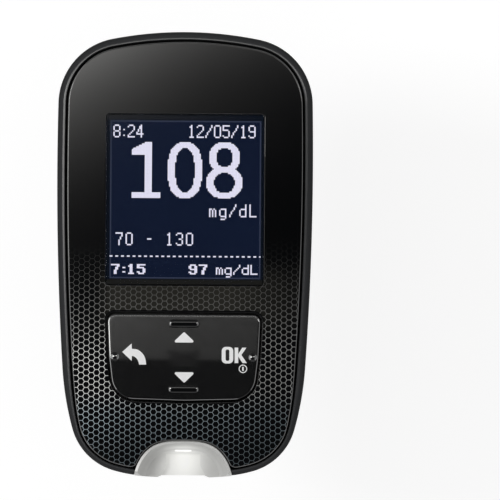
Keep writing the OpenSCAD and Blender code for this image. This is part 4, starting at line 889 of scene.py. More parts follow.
# Rocker key: two faces that fall away from a soft crest, with bars, dots and printed marks
def keyFace(x, y, s=keySettings, soft=0.3):
    away = np.abs(y - s["crest"])
    reach = (s["top"] - s["foot"]) / 2
    return s["face"] - s["fall"] * (np.hypot(away, soft) - soft) / reach


def keyTopRings(s):
    # Rings from the side wall over a round edge, then drawn together towards the middle
    t = np.radians(np.linspace(0, 90, 9))
    insets = s["edgeRadius"] * (1 - np.cos(t))
    drops = s["edgeDrop"] * (1 - np.sin(t))
    rings = []
    for inset, drop in zip(insets, drops):
        loop = evenly(keyLoop(-inset), 420)
        rings.append(np.column_stack([loop, keyFace(*loop.T) - drop]))
    last = rings[-1][:, :2]
    centre = np.array([0.0, s["crest"]])
    for share in (0.97, 0.92, 0.84, 0.72, 0.58, 0.42, 0.26, 0.1):
        loop = centre + (last - centre) * share
        rings.append(np.column_stack([loop, keyFace(*loop.T)]))
    return rings


def makeKey(s, skin, edgeSkin):
    wall = evenly(keyLoop(-1.0), 420)
    outer, flange = evenly(keyLoop(0), 420), evenly(keyLoop(s["flangeReach"]), 420)
    rings = [atHeight(wall, s["wallTop"]), atHeight(wall, s["flangeLow"]), atHeight(flange, s["flangeLow"]),
             atHeight(flange, s["flangeHigh"]), atHeight(outer, s["flangeHigh"]), atHeight(outer, s["sideTop"])]
    key = stack("rockerKey", rings + keyTopRings(s))
    bars = []
    for y in s["bars"]:
        base = float(keyFace(0.0, y)) - 0.15
        loop = evenly(boxLoop(s["barLength"], s["barWidth"], y, s["barWidth"] / 2 - 0.001, steps=16), 120)
        bars.append(stack("bar", [atHeight(loop, base)] + turnedEdge(
            loop, 0.55, base + 0.15, s["barTop"] - 0.2 - base, np.linspace(0, 90, 8))))
    for side in (-1, 1):
        x, y = side * s["dotReach"], s["pivot"]
        top, foot = s["barTop"], float(keyFace(x, y)) - 0.03
        ball = (s["dotRadius"] ** 2 / (top - foot) + top - foot) / 2
        rings = [atHeight(circle(r, 60, x, y), top - ball + math.sqrt(ball ** 2 - r ** 2))
                 for r in s["dotRadius"] * np.array([1.1, 1.0, 0.9, 0.78, 0.65, 0.5, 0.34, 0.2, 0.08])]
        bars.append(stack("dot", rings))
    insides = [post("plunger", x, s["pivot"] + y, s["plungerRadius"], s["plungerFoot"], s["rootTop"])
               for x, y in s["plungers"]]
    ears = [s["pivot"] + side * s["earReach"] for side in (-1, 1)]
    insides += [box("ear", (0, y), s["earSize"], s["earFoot"], s["rootTop"]) for y in ears]
    carve(key, bars + insides, "UNION")
    bore = circle(s["boreRadius"], 40, 0, s["axleHeight"])
    carve(key, [alongY("bore", bore, y - s["boreHalf"], y + s["boreHalf"]) for y in ears])

    def edges(normals, middles):
        # The whole outer edge, and the ends of the bars and dots
        x, y, z = np.abs(middles[:, 0]), middles[:, 1], middles[:, 2]
        outer = (z < s["barTop"] - 0.36) & (np.abs(y - (s["top"] + s["foot"]) / 2) > 7.3)
        outer |= x > s["dotReach"] + s["dotRadius"] * 1.15 - np.maximum(0, -18 - y) * 0.12
        ends = np.abs(normals[:, 0]) > 1.2 * np.abs(normals[:, 1])
        return (normals[:, 2] < s["edgeNormal"]) & (z > s["face"] - 0.75) & (outer | ends)

    splitSkins(key, (skin, edgeSkin), edges)
    return fit(smooth(key, 30), "key", "key_plastic", "rocker_key")


def keyBlack(name, s):
    # Satin face with bars and dots rubbed bright above it
    m = Skin(name)
    x, y, z = m.axes()
    peel = m.noise(700, 2)
    raised = m.step(z, s["face"] + 0.02, s["face"] + 0.1)
    m.set(Base_Color=m.mix(peel, (0.0022, 0.0024, 0.0028), (0.003, 0.0032, 0.0036)),
          Roughness=raised * -0.14 + m.drift(peel, 0.21, 0.23))
    m.bump(peel, 0.0015)
    return m.material


keySkin = keyBlack("keyBlack", keySettings)
makeKey(keySettings, keySkin, edgeGloss("keyEdge", (0.003, 0.0032, 0.0036), 2.1))
print("key ready")

# Marks on the key, in millimetres on its face
markSettings = dict(thick=0.035, sunk=0.08, scale=5.519, axisAtTop=186.1, lean=0.007, topRow=32.3)


def onFace(points, s=markSettings):
    # Places drawn over the front view, as millimetres on the case
    points = np.asarray(points, float)
    axis = s["axisAtTop"] - s["lean"] * (points[:, 1] - s["topRow"])
    return np.column_stack([(points[:, 0] - axis) / s["scale"],
                            caseTop - (points[:, 1] - s["topRow"]) / s["scale"]])


def markSlab(name, outline, skin, hole=None, s=markSettings):
    # A printed mark, cut along lines near the key's crest and then laid on its face; a hole turns it into a band
    loops = [(outline, 0), (outline, 1)] + ([] if hole is None else [(hole, 1), (hole, 0)])
    mark = stack(name, [atHeight(loop, z) for loop, z in loops], [skin], closed=hole is not None)
    work = bmesh.new()
    work.from_mesh(mark.data)
    for away in (-1.2, -0.6, -0.3, -0.15, 0, 0.15, 0.3, 0.6, 1.2):
        bmesh.ops.bisect_plane(work, geom=work.verts[:] + work.edges[:] + work.faces[:],
                               plane_co=(0, (keySettings["crest"] + away) * mm, 0), plane_no=(0, 1, 0))
    work.to_mesh(mark.data)
    work.free()
    points = np.zeros(len(mark.data.vertices) * 3)
    mark.data.vertices.foreach_get("co", points)
    points = points.reshape(-1, 3) / mm
    points[:, 2] = keyFace(points[:, 0], points[:, 1]) + np.where(points[:, 2] > 0.5, s["thick"], -s["sunk"])
    mark.data.vertices.foreach_set("co", (points * mm).ravel())
    return mark


def makeMarks(skin):
    def triangle(points, radius=0.22):
        return roundedLoop(onFace(points), [radius] * 3, steps=6)

    def block(x0, y0, x1, y1):
        return onFace([(x0, y0), (x1, y0), (x1, y1), (x0, y1)])

    def around(radius):
        return onFace(circle(radius, 48) * [1, -1] + [242.9, 368.1])

    up = markSlab("upMark", triangle([(173.1, 342.3), (184.2, 331.6), (195.3, 342.3)]), skin)
    down = markSlab("downMark", triangle([(173.1, 371.9), (195.3, 371.9), (184.2, 382.6)]), skin)
    ring = markSlab("okFirst", evenly(roundedLoop(block(221.7, 346.3, 233.2, 362.9), [0.75] * 4), 80), skin,
                    evenly(roundedLoop(block(225.6, 348.9, 229.3, 360.3), [0.3] * 4), 80))
    kOutline = onFace([(234.6, 347), (238.2, 347), (238.2, 353.4), (242.2, 347), (246.3, 347), (241.4, 354.3),
                       (246.8, 362.4), (242.5, 362.4), (238.2, 355.9), (238.2, 362.4), (234.6, 362.4)])
    letter = markSlab("okSecond", kOutline, skin)
    shaftOuter = smoothRun([(132.2, 348.9), (138, 349.8), (143.1, 353.9), (145.6, 359.1), (146.4, 364.6)], 5)
    shaftInner = smoothRun([(139.3, 364.6), (139, 362.9), (137.5, 359.3), (135, 356.9), (132.2, 355.9)], 5)
    back = np.vstack([[(122.5, 352.1), (131.9, 343.6)], shaftOuter, shaftInner, [(131.9, 360.9)]])
    arrow = markSlab("backMark", onFace(back), skin)
    powerRing = markSlab("powerRing", around(4.2), skin, around(3.3))
    bar = markSlab("powerBar", block(242.1, 366.1, 243.7, 370.1), skin)
    for piece in (up, down, ring, letter, arrow, powerRing, bar):
        fit(piece, "key", "key_plastic")


markSkin = mouldedPlastic("markWhite", (0.82, 0.82, 0.82), 0.45, grain=0.12, depth=0.002, lighter=1.06)
makeMarks(markSkin)
print("marks ready")


# Strip port: grey lens with a scoop, a strip channel and the slot the strip goes into
def makeLens(s, skin):
    lens = lensBlank(0, edge=0.12, high=s["top"])
    rings = [atHeight(levelLoop(-s["proud"]), s["base"] - 1)]
    rings += [atHeight(levelLoop(inset - s["proud"]), z) for inset, z in smoothRun(s["lean"], 4)]
    rings.append(atHeight(levelLoop(s["lean"][-1][0] - s["proud"] + 0.3), s["top"] + 0.3))
    knots = smoothRun(s["scoop"], 5)
    scoop = stack("scoop", [atHeight(lensLoop(s["reach"] - across, s["depth"] - down), z)
                            for across, down, z in knots])
    half, mouth = s["channelWidth"] / 2, s["channelMouth"] / 2
    start, end = s["flareStart"], s["flareEnd"]
    flare = smoothRun([(half, start + 0.9), (half, start + 0.25), (half + 0.12, start - 0.25),
                       (mouth - 0.3, end + 0.3), (mouth, end - 0.35), (mouth + 0.1, s["mouthEnd"])], 5)
    right = np.vstack([[(half, s["channelEnd"])], flare])
    channel = np.vstack([right, right[::-1] * [-1, 1]])
    carve(lens, [stack("envelope", rings)], "INTERSECT")
    carve(lens, [
        scoop,
        plate("channel", channel, s["channelFloor"], s["channelTop"]),
        box("slot", (0, (s["slotTo"] + s["slotFrom"]) / 2), (s["channelWidth"], s["slotTo"] - s["slotFrom"]),
            s["channelFloor"], s["slotTop"]),
        plate("mouth", np.array(s["notch"]), s["base"] - 1, s["top"] + 1),
    ])
    lens.name = lens.data.name = "portLens"
    lens.data.materials.append(skin)
    return fit(smooth(lens, 34), "case", "lens_plastic", "strip_port_lens")


def lensGrey(name, s):
    # Cloudy grey moulding with painted light: an emission glow stands for the light of the two lamps behind the slot
    m = Skin(name)
    x, y, z = m.axes()
    cloud = m.noise(260, 4, 0.6)
    dx = x / (s["spreadX"] * mm)
    dy = (y - s["source"][0] * mm) / (s["spreadY"] * mm)
    dz = (z - s["source"][1] * mm) / (s["spreadZ"] * mm)
    near = 1.0 - m.smooth(m.math("SQRT", dx * dx + dy * dy + dz * dz), 0.0, 1.0)
    # Painted light: a short bright bar in front of the slot stands for the light that spills out of it
    bar = (m.step(abs(x), s["barReach"] + 0.1, s["barReach"] - 0.2)
           * m.step(abs(y - s["barMiddle"] * mm), 0.2, 0.08))
    # Painted light makes the channel's floor the brightest part, a painted highlight lies along the left lip, and
    # painted shade makes the crease round the scoop's floor the darkest
    channel = m.step(z, 14.6, 14.3)
    lip = m.step(z, 18.85, 18.97) * m.slope(x, -8.6, -6, 0.3, 0.0)
    creaseShade = m.step(z, 15.2, 15.3) * m.step(z, 15.95, 15.5)
    glow = lip + (near * 0.4 + channel * 0.06 + bar * 0.6) * (1.0 - creaseShade * 0.35)
    m.set(Base_Color=m.mix(cloud, s["grey"], s["paleGrey"]), Roughness=m.drift(cloud, 0.28, 0.36),
          Emission_Color=m.mix(glow, (0.0, 0.0, 0.0), s["glow"]), Emission_Strength=1.0)
    m.bump(m.noise(2400, 2), 0.002)
    return m.material


greySettings = dict(grey=(0.53, 0.53, 0.515), paleGrey=(0.6, 0.6, 0.585), glow=(1.0, 1.0, 0.97),
                    source=(-37.0, 14.4), spreadX=6.2, spreadY=11.0, spreadZ=4.8, barReach=1.5, barMiddle=-35.47)
makeLens(lensSettings, lensGrey("lensGrey", greySettings))
print("strip port ready")

# Rear shell: a shallow dish with the door's opening, the cells' pocket and the label's recess
rearSettings = dict(
    side=[(8.4, 0.0), (7.3, 0.06), (5.0, 0.74), (2.8, 2.02), (1.2, 4.0), (0.3, 6.5), (0.03, 8.0), (0, 8.6)],
    lip=[(0.03, 8.74), (0.12, 8.84), (0.25, 8.85), (0.9, 8.85), (0.9, 9.85)],
    inside=[(1.55, 9.85), (1.6, 7.5), (1.9, 6.6), (2.9, 4.4), (4.4, 3.0), (6.4, 2.15), (8.2, 1.9)],
    boxOuter=(26.8, 47.6, 3.5), boxLow=0.95, boxTop=7.6, middle=-4.0,
    door=(24.0, 46.0, 3.0), doorGap=0.25, ledge=1.75, pocketRadius=10.4, pocketLength=41.4, pocketTop=6.4,
    hookReach=7.0, hookRoom=(18.725, (4.8, 5.95), 1.85, 4.0), hookWay=(17.5, (4.8, 3.5), 0.75, 2.2),
    cells=(6.3, -14.3), sideLeaf=(10.8, 0, (2.6, 3.8), 1.85), middleLeaf=(0, -4.6, (3.8, 1.2), 5.2), leafTop=8.6,
    edge=0.2,
    label=(22.0, 9.0, 26.4, 1.0), labelGap=0.2, labelDepth=0.3,
)


def footCutter(name, loop, high, edge):
    # Straight cut up into the back, opening in a small round at the bottom face
    flare = turnedEdge(loop, -edge, edge, -edge, (90, 60, 30, 0))
    return stack(name, [atHeight(movedIn(loop, -edge), -1.0)] + flare + [atHeight(loop, high)])


def makeRear(s, skin):
    rings = [atHeight(levelLoop(inset), max(z, 0)) for inset, z in smoothRun(s["side"], 4)]
    rings += [atHeight(levelLoop(inset), z) for inset, z in s["lip"] + s["inside"]]
    rear = stack("rearShell", rings)
    width, length, corner = s["boxOuter"]
    carve(rear, [plate("batteryBox", boxLoop(width, length, s["middle"], corner), s["boxLow"], s["boxTop"])], "UNION")
    doorWidth, doorLength, doorCorner = s["door"]
    labelWidth, labelLength, labelMiddle, labelCorner = s["label"]
    cutters = [
        footCutter("doorway", evenly(boxLoop(doorWidth, doorLength, s["middle"], doorCorner, s["doorGap"], 14), 360),
                   s["ledge"], s["edge"]),
        plate("pocket", boxLoop(2 * s["pocketRadius"], s["pocketLength"], s["middle"], s["pocketRadius"] - 0.01,
                                steps=40), s["ledge"] - 1, s["pocketTop"]),
        footCutter("labelSeat", evenly(boxLoop(labelWidth, labelLength, labelMiddle, labelCorner, s["labelGap"]), 240),
                   s["labelDepth"], 0.1),
        plate("mouth", np.array(lensSettings["notch"]), -1, 10),
    ]
    for side in (-1, 1):
        for name in ("hookRoom", "hookWay"):
            y, size, low, high = s[name]
            cutters.append(box(name, (side * s["hookReach"], y), size, low, high))
    for cellY in s["cells"]:
        for name in ("sideLeaf", "middleLeaf"):
            x, y, size, low = s[name]
            cutters.append(box(name, (x, cellY + y), size, low, s["leafTop"]))
    carve(rear, cutters)
    rear.data.materials.append(skin)
    return fit(smooth(rear), "case", "rear_plastic", "rear_housing")


rearSkin = mouldedPlastic("rearBlack", (0.0115, 0.0118, 0.0125), 0.62, grain=0.22, depth=0.012, specular=0.18)
makeRear(rearSettings, rearSkin)
print("rear shell ready")

# Battery door with two hooks, cell ribs and a moulded arrow that points to its latch
doorSettings = dict(
    low=0.15, high=1.55, edge=0.3, hookReach=7.0, hookWidth=4.0,
    hook=[(17.5, 1.45), (17.5, 2.85), (17.75, 3.1), (20.35, 3.1), (20.6, 2.9), (20.6, 2.4), (20.4, 2.2),
          (18.9, 2.2), (18.7, 2.0), (18.7, 1.45)],
    notch=((0, -26.15), (8.6, 5.7)), arrow=[(-1.6, -19.2), (1.6, -19.2), (0, -21.6)], arrowDepth=0.14,
    latchMiddle=(0, -25.3), latchSize=(8.0, 3.4), latchLow=0.25, latchHigh=1.35, ribs=(-26.3, -25.4, -24.5),
)


def makeDoor(s, skin):
    width, length, corner = rearSettings["door"]
    loop = evenly(boxLoop(width, length, rearSettings["middle"], corner, steps=14), 360)
    foot = turnedEdge(loop, s["edge"], s["low"] + s["edge"], -s["edge"], (90, 72, 54, 36, 18, 0))
    door = stack("batteryDoor", foot + [atHeight(loop, s["high"] - 0.08), atHeight(movedIn(loop, 0.08), s["high"])])
    hooks = []
    for side in (-1, 1):
        ends = [side * s["hookReach"] + end * s["hookWidth"] for end in (-0.5, 0.5)]
        hooks.append(stack("hook", [np.column_stack([np.full(len(s["hook"]), x), s["hook"]]) for x in ends]))
    for y in rearSettings["cells"]:
        for x in (-4.0, 0.0, 4.0):
            rib = boxLoop(0.9, 9.0, y, 0.4, across=x)
            hooks.append(stack("rib", [atHeight(rib, s["high"] - 0.2), atHeight(rib, s["high"] + 0.15),
                                       atHeight(movedIn(rib, 0.12), s["high"] + 0.25)]))
    carve(door, hooks, "UNION")
    arrow = roundedLoop(s["arrow"], [0.25] * 3)
    carve(door, [
        box("notch", *s["notch"], -1, 3),
        stack("arrow", [atHeight(movedIn(arrow, -0.1), -0.5), atHeight(movedIn(arrow, -0.1), s["low"] - 0.01),
                        atHeight(arrow, s["low"] + s["arrowDepth"])]),
    ])
    soften(door, 0.07, 2, 50)
    door.data.materials.append(skin)
    return fit(smooth(door), "door", "rear_plastic", "battery_door")


def makeLatch(s, skin):
    (x, y), (width, length) = s["latchMiddle"], s["latchSize"]
    loop = boxLoop(width, length, y, 0.35, steps=8)
    latch = stack("doorLatch", [
        atHeight(movedIn(loop, 0.2), s["latchLow"]), atHeight(movedIn(loop, 0.06), s["latchLow"] + 0.06),
        atHeight(loop, s["latchLow"] + 0.2), atHeight(loop, s["latchHigh"] - 0.1),
        atHeight(movedIn(loop, 0.1), s["latchHigh"])])
    ribs = []
    for ribY in s["ribs"]:
        rib = boxLoop(width - 2, 0.44, ribY, 0.2, steps=8)
        ribs.append(stack("rib", [atHeight(movedIn(rib, 0.13), 0.15), atHeight(movedIn(rib, 0.05), 0.18),
                                  atHeight(rib, 0.24), atHeight(rib, 0.5)]))
    carve(latch, ribs, "UNION")
    latch.data.materials.append(skin)
    return fit(smooth(latch), "latch", "rear_plastic", "battery_door_latch")


makeDoor(doorSettings, rearSkin)
makeLatch(doorSettings, rearSkin)
print("battery door ready")

# Coin cells: pressed can with a rounded edge, a seal ring and a stamped plus
cellSettings = dict(
    low=2.0, plusAt=5.2, plus=(0.9, 3.6), plusDepth=0.06,
    line=[(9.3, 2.0), (9.7, 2.08), (9.92, 2.28), (10.0, 2.6), (10.0, 4.6), (9.93, 4.8), (9.72, 4.93), (9.45, 4.95),
          (9.35, 4.9), (9.3, 4.72), (9.15, 4.72), (9.1, 4.9), (9.08, 5.05), (8.95, 5.17), (8.7, 5.2)],
)


def spunSteel(name, middleY, plus):
    # Fine rings about the cell's own centre, as left by the press, and painted shade that darkens the groove of the
    # stamped plus
    m = Skin(name)
    x, y, z = m.axes()
    away = y - middleY * mm
    rings = m.made("ShaderNodeTexNoise", {"W": m.math("SQRT", x * x + away * away), "Scale": 6000, "Detail": 2},
                   "Fac", noise_dimensions="1D")
    middle, width, length = plus
    fromPlus = [abs(x - middle * mm), abs(away)]
    # painted shade in the plus's groove
    groove = (m.step(m.least(*fromPlus), width / 2, width / 2 - 0.08)
              * m.step(m.most(*fromPlus), length / 2, length / 2 - 0.08))
    steel = m.mix(m.noise(1500, 4, 0.7), (0.4, 0.39, 0.38), (0.56, 0.55, 0.53))
    m.set(Base_Color=m.mix(groove, steel, (0.12, 0.12, 0.115)), Metallic=1.0, Roughness=m.drift(rings, 0.2, 0.34))
    m.bump(rings, 0.003)
    return m.material


def makeCell(name, y, node, s):
    cell = stack(name, [atHeight(circle(r, 128, 0, y), z) for r, z in s["line"]])
    wide, reach = s["plus"]
    for size in ((reach, wide), (wide, reach)):
        carve(cell, [box("plus", (s["plusAt"], y), size, s["low"] - 1, s["low"] + s["plusDepth"])])
    cell.data.materials.append(spunSteel(name + "Steel", y, (s["plusAt"], wide, reach)))
    return fit(smooth(cell), "case", "cell_steel", node)


makeCell("cellUpper", rearSettings["cells"][0], "battery_cell_upper", cellSettings)
makeCell("cellLower", rearSettings["cells"][1], "battery_cell_lower", cellSettings)
print("cells ready")

# Data port: folded steel shell with its tongue
portSettings = dict(
    outline=[(-3.8, 15.7), (3.8, 15.7), (3.8, 14.3), (2.9, 13.0), (-2.9, 13.0), (-3.8, 14.3)],
    corner=0.4, wall=0.3, back=34.1, mouth=39.8, backWall=0.4,
    edge=0.12, tongueWidth=3.8, tongueLow=14.4, tongueHigh=15.0, tongueFrom=35.3, tongueEnd=38.5, baseEnd=35.5,
    pads=5, padPitch=0.65, padHalf=0.18, padThick=0.04,
)


def makePort(s, steel, black, gold):
    outer = roundedLoop(s["outline"], [s["corner"]] * 6)
    inner, lip = movedIn(outer, s["wall"]), s["mouth"] - s["edge"]
    shell = stack("portShell", [upright(loop, y) for loop, y in (
        (inner, s["back"] + s["backWall"]), (inner, lip), (movedIn(outer, s["wall"] - 0.06), s["mouth"]),
        (movedIn(outer, 0.06), s["mouth"]), (outer, lip), (outer, s["back"]))], [steel])
    fit(smooth(shell), "case", "port_steel", "data_port_shell")
    base = alongY("tongue", movedIn(outer, s["wall"] + 0.02), s["back"] + s["backWall"], s["baseEnd"])
    half, low, high = s["tongueWidth"] / 2, s["tongueLow"], s["tongueHigh"]
    blade = stack("blade", [upright(np.array([(-half, z1), (half, z1), (half, z0), (-half, z0)]), y) for y, z0, z1 in (
        (s["tongueFrom"], low, high), (s["tongueEnd"] - 0.25, low, high),
        (s["tongueEnd"], low + s["edge"], high - s["edge"]))])
    carve(base, [blade], "UNION")
    base.name = base.data.name = "portTongue"
    base.data.materials.append(black)
    fit(smooth(base), "case", "connector_plastic", "data_port_tongue")
    x = (np.arange(s["pads"]) - (s["pads"] - 1) / 2) * s["padPitch"]
    along = np.ones(s["pads"])
    pads = slabs("portPads", np.column_stack([x - s["padHalf"], x + s["padHalf"], s["baseEnd"] * along,
                                              (s["tongueEnd"] - 0.3) * along]),
                 low - s["padThick"], low + s["padThick"], gold)
    fit(pads, "case", "gold_contact")


portSteel = rolledMetal("portSteel", (0.62, 0.62, 0.63), 0.3, (1, 9, 1))
connectorBlack = mouldedPlastic("connectorBlack", (0.012, 0.012, 0.013), 0.5, grain=0.2, depth=0.005)
goldSkin = rolledMetal("contactGold", (0.83, 0.6, 0.27), 0.26, (9, 1, 1))
makePort(portSettings, portSteel, connectorBlack, goldSkin)
print("data port ready")


# Finishes of the parts that keep their own shape
def foamSkin(name, colour):
    # Black foam whose pits at the cells' middles are painted darker, as painted shade
    m = Skin(name)
    cells = m.made("ShaderNodeTexVoronoi", {"Vector": m.place, "Scale": 5000}, "Distance")
    m.set(Base_Color=m.mix(cells, times(colour, 0.5), colour), Roughness=0.9)
    m.bump(cells, 0.03)
    return m.material


def boardSkin(name):
    # Solder mask over copper tracks that run at right angles, with a fine weave under it
    m = Skin(name)
    x, y, z = m.axes()
    tracks = m.made("ShaderNodeTexBrick", {"Vector": m.place, "Scale": 420, "Mortar Size": 0.06}, "Fac")
    weave = m.math("SINE", x * 12000) * m.math("SINE", y * 12000)
    m.set(Base_Color=m.mix(tracks, (0.012, 0.11, 0.045), (0.02, 0.17, 0.07)), Roughness=0.32)
    m.bump(tracks + weave * 0.15, 0.02)
    return m.material


def ceramicSkin(name):
    # Tan ceramic with a fine sintered grain
    m = Skin(name)
    grain = m.noise(3000, 3)
    m.set(Base_Color=m.mix(grain, (0.22, 0.15, 0.08), (0.4, 0.3, 0.19)), Roughness=0.55)
    m.bump(grain, 0.004)
    return m.material


def siliconeSkin(name):
    m = Skin(name)
    haze = m.noise(500, 3)
    m.set(Base_Color=m.mix(haze, (0.42, 0.44, 0.46), (0.52, 0.54, 0.56)), Roughness=m.drift(haze, 0.5, 0.62),
          Transmission_Weight=0.25)
    m.bump(haze, 0.004)
    return m.material


def labelSkin(name):
    # Satin film with rolled grain and a few bubbles under it
    m = Skin(name)
    rolled = m.noise(1500, 3, 0.6, (1, 5, 1))
    bubbles = m.smooth(m.noise(380, 2), 0.66, 0.72)
    m.set(Base_Color=m.mix(rolled, (0.62, 0.62, 0.62), (0.68, 0.68, 0.67)), Roughness=m.drift(rolled, 0.3, 0.42))
    m.bump(rolled + bubbles * 4, 0.003)
    return m.material


glassSkin = clearPlastic("displayGlass", (0.93, 0.97, 0.95), 0.02, 1.52)
chipSkin = mouldedPlastic("chipEpoxy", (0.016, 0.016, 0.017), 0.58, grain=0.12, depth=0.008)
contactSkin = rolledMetal("contactNickel", (0.68, 0.66, 0.62), 0.28, (1, 10, 1))
canSkin = rolledMetal("canSteel", (0.62, 0.62, 0.64), 0.3, (12, 1, 1))
keptParts = {
    "cover_adhesive": mouldedPlastic("adhesiveFilm", (0.05, 0.05, 0.05), 0.6, grain=0.6, depth=0.004),
    "display_gasket": foamSkin("blackFoam", (0.02, 0.02, 0.02)),
    "display_polariser": polishedPlastic("polariserFilm", (0.006, 0.008, 0.02), 0.2),
    "display_front_glass": glassSkin,
    "display_rear_glass": glassSkin,
    "display_backlight": polishedPlastic("lightGuide", (0.78, 0.78, 0.76), 0.25),
    "display_flex_cable": polishedPlastic("flexAmber", (0.42, 0.17, 0.03), 0.28),
    "rocker_yoke": mouldedPlastic("acetalWhite", (0.62, 0.61, 0.57), 0.38, grain=0.5, depth=0.004, lighter=1.08),
    "key_mat": siliconeSkin("clearSilicone"),
    "key_domes": rolledMetal("springSteel", (0.66, 0.65, 0.63), 0.22, (6, 1, 1)),
    "chassis_frame": mouldedPlastic("frameWhite", (0.6, 0.6, 0.58), 0.5, grain=0.3, depth=0.006, lighter=1.06),
    "strip_connector": connectorBlack,
    "strip_contacts": goldSkin,
    "port_lights": polishedPlastic("lampPackage", (0.72, 0.7, 0.58), 0.3),
    "main_board": boardSkin("boardGreen"),
    "processor_chip": chipSkin,
    "memory_chip": chipSkin,
    "clock_crystal": canSkin,
    "small_components": ceramicSkin("componentCeramic"),
    "buzzer": connectorBlack,
    "board_screws": rolledMetal("screwZinc", (0.6, 0.61, 0.64), 0.3, (5, 5, 1)),
    "battery_contacts_negative": contactSkin,
    "battery_contacts_positive": contactSkin,
    "rear_label": labelSkin("labelFilm"),
}
for name, skin in keptParts.items():
    slots = nodes[name].data.materials
    if len(slots):
        slots[0] = skin
    else:
        slots.append(skin)
print("kept parts finished:", len(keptParts))

# Studio: pale floor, even sky, one soft lamp and a card of light that only gloss sees
studioSettings = dict(
    skyLevel=0.62, lowerSky=0.42, horizonGloss=0.7, zenithGloss=0.02, glossFrom=0.3, glossTo=0.88,
    stripGloss=0.9, stripLow=0.2, stripHigh=0.62, stripWidth=0.5, stripBlur=0.1, footShare=0.2,
    lampPlace=(-1.05, 0.25, 1.3), lampSize=0.42, lampPower=6.5,
    cardHeight=319.0, cardReach=(-300, 300, -10, 135), cardLevel=2.55, cardMost=5.0, cardFar=4.2,
    cardTint=(1.0, 0.99, 0.965), cardFrom=(-15.6, 35.3), cardFall=(-0.075, 0.12), cardStep=(41, 50),
    endGloss=0.4, floorHeight=-46.0, floorSize=4.0, floorColour=0.42, floorGlow=0.7,
    cameraPlace=(11.84, 0.93), planeHeight=19.2, distance=2000.0, viewWidth=90.35, roll=0.4,
)


def makeSky(s):
    world = bpy.data.worlds.new("studioSky")
    bpy.context.scene.world = world
    world.use_nodes = True
    m = Tree(world.node_tree, "Generated")
    x, y, z = m.axes()
    camera, glossy, passing, bounces = m.rays("Is Camera Ray", "Is Glossy Ray", "Is Transmission Ray", "Glossy Depth")
    # A mirrored ray that goes on through clear plastic still counts as gloss
    inside = m.least(bounces, 1.0)
    seen = m.most(camera, passing * (1.0 - inside))
    glossPart = m.most(glossy, passing * inside) * (1.0 - seen)
    across = x * x
    sideways = across / m.most(across + y * y, 0.0001)
    towardsTop = m.math("GREATER_THAN", y, 0.0)
    gloss = m.smooth(z, s["glossFrom"], s["glossTo"], s["horizonGloss"], s["zenithGloss"])
    gloss = gloss * (1.0 - (1.0 - sideways) * (1 - s["endGloss"]) * towardsTop)
    # A strip of light low down on the left, and a fainter one beyond the foot, seen by gloss alone
    strip = (m.smooth(z, s["stripLow"], s["stripLow"] + s["stripBlur"])
             * m.smooth(z, s["stripHigh"], s["stripHigh"] + s["stripBlur"], 1.0, 0.0))
    fromLeft = m.math("LESS_THAN", x, 0.0) * m.math("GREATER_THAN", sideways, s["stripWidth"])
    fromFoot = m.math("LESS_THAN", y, 0.0) * m.math("LESS_THAN", sideways, s["stripWidth"])
    gloss = gloss + strip * (fromLeft + fromFoot * s["footShare"]) * s["stripGloss"]
    soft = m.smooth(z, -0.4, 0.3, s["lowerSky"], s["skyLevel"])
    sky = m.tree.nodes["Background"]
    m.link(seen + glossPart * gloss + (1.0 - seen - glossPart) * soft, sky.inputs["Strength"])
    m.link((1.0, 1.0, 1.0), sky.inputs["Color"])


def makeFloor(s):
    # Low enough for the open door; seen from above only, and by no light that falls on the object from below
    half = s["floorSize"] / 2 / mm
    floor = makeMesh("floor", atHeight(np.array([[-half, half], [half, half], [half, -half], [-half, -half]]),
                                       s["floorHeight"]), [[3, 2, 1, 0]])
    m = Skin("paleFloor")
    paint = m.made("ShaderNodeBsdfDiffuse", {"Color": (s["floorColour"],) * 3})
    glow = m.made("ShaderNodeEmission", {"Strength": s["floorGlow"]})
    camera, glossy, passing = m.rays("Is Camera Ray", "Is Glossy Ray", "Is Transmission Ray")
    below = Wire(m, m.tree.nodes.new("ShaderNodeNewGeometry").outputs["Backfacing"])
    shown = m.most(m.most(camera, glossy), passing) * (1.0 - below)
    shader = m.made("ShaderNodeMixShader", {0: shown, 1: m.made("ShaderNodeBsdfTransparent", {}),
                                            2: m.made("ShaderNodeAddShader", {0: paint, 1: glow})})
    m.link(shader, m.tree.nodes["Material Output"].inputs["Surface"])
    m.tree.nodes.remove(m.shader)
    floor.data.materials.append(m.material)


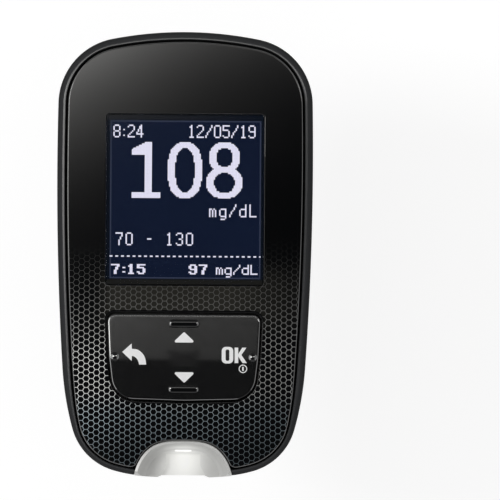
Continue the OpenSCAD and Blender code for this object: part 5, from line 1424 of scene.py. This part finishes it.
def makeLamp(s):
    light = bpy.data.lights.new("softLamp", "AREA")
    light.shape = "RECTANGLE"
    light.size = light.size_y = s["lampSize"]
    light.energy = s["lampPower"]
    lamp = bpy.data.objects.new("softLamp", light)
    bpy.context.scene.collection.objects.link(lamp)
    lamp.location = s["lampPlace"]
    away = np.array(s["lampPlace"]) / np.linalg.norm(s["lampPlace"])
    lamp.rotation_euler = (math.acos(away[2]), 0, math.atan2(away[0], -away[1]))
    lamp.visible_camera = False


def makeCard(s):
    # A level card for gloss alone, bright at the far end, that fades towards the foot and the right
    x0, x1, y0, y1 = s["cardReach"]
    loop = np.array([[x0, y1], [x1, y1], [x1, y0], [x0, y0]])
    card = makeMesh("glossCard", atHeight(loop, s["cardHeight"]), [[0, 1, 2, 3]])
    m = Skin("cardGlow")
    x, y, z = m.axes()
    # Over a place on the cover, the card's mirrored place lies this much further from the camera's axis
    spread = 1 + (s["cardHeight"] - s["planeHeight"]) / s["distance"]
    seenX, seenY = ((axis - centre * mm) / (spread * mm) + centre for axis, centre in zip((x, y), s["cameraPlace"]))
    fall = (seenX - s["cardFrom"][0]) * s["cardFall"][0] + (seenY - s["cardFrom"][1]) * s["cardFall"][1]
    strength = m.least(m.math("EXPONENT", fall) * s["cardLevel"], s["cardMost"])
    far = m.smooth(seenY, *s["cardStep"])
    m.set(Base_Color=(0.0, 0.0, 0.0), Specular_IOR_Level=0.0, Emission_Color=s["cardTint"],
          Emission_Strength=strength * (1.0 - far) + far * s["cardFar"])
    card.data.materials.append(m.material)
    for way in ("camera", "diffuse", "transmission", "volume_scatter", "shadow"):
        setattr(card, "visible_" + way, False)


def makeCamera(s):
    camera = bpy.data.cameras.new("frontCamera")
    camera.sensor_width = 36
    camera.lens = camera.sensor_width * s["distance"] / s["viewWidth"]
    camera.clip_start, camera.clip_end = 0.05, 20
    holder = bpy.data.objects.new("frontCamera", camera)
    bpy.context.scene.collection.objects.link(holder)
    x, y = s["cameraPlace"]
    holder.location = (x * mm, y * mm, (s["planeHeight"] + s["distance"]) * mm)
    holder.rotation_euler = (0, 0, math.radians(s["roll"]))
    bpy.context.scene.camera = holder


makeSky(studioSettings)
makeFloor(studioSettings)
makeLamp(studioSettings)
makeCard(studioSettings)
makeCamera(studioSettings)
bpy.context.scene.view_settings.view_transform = "Standard"
print("studio ready")
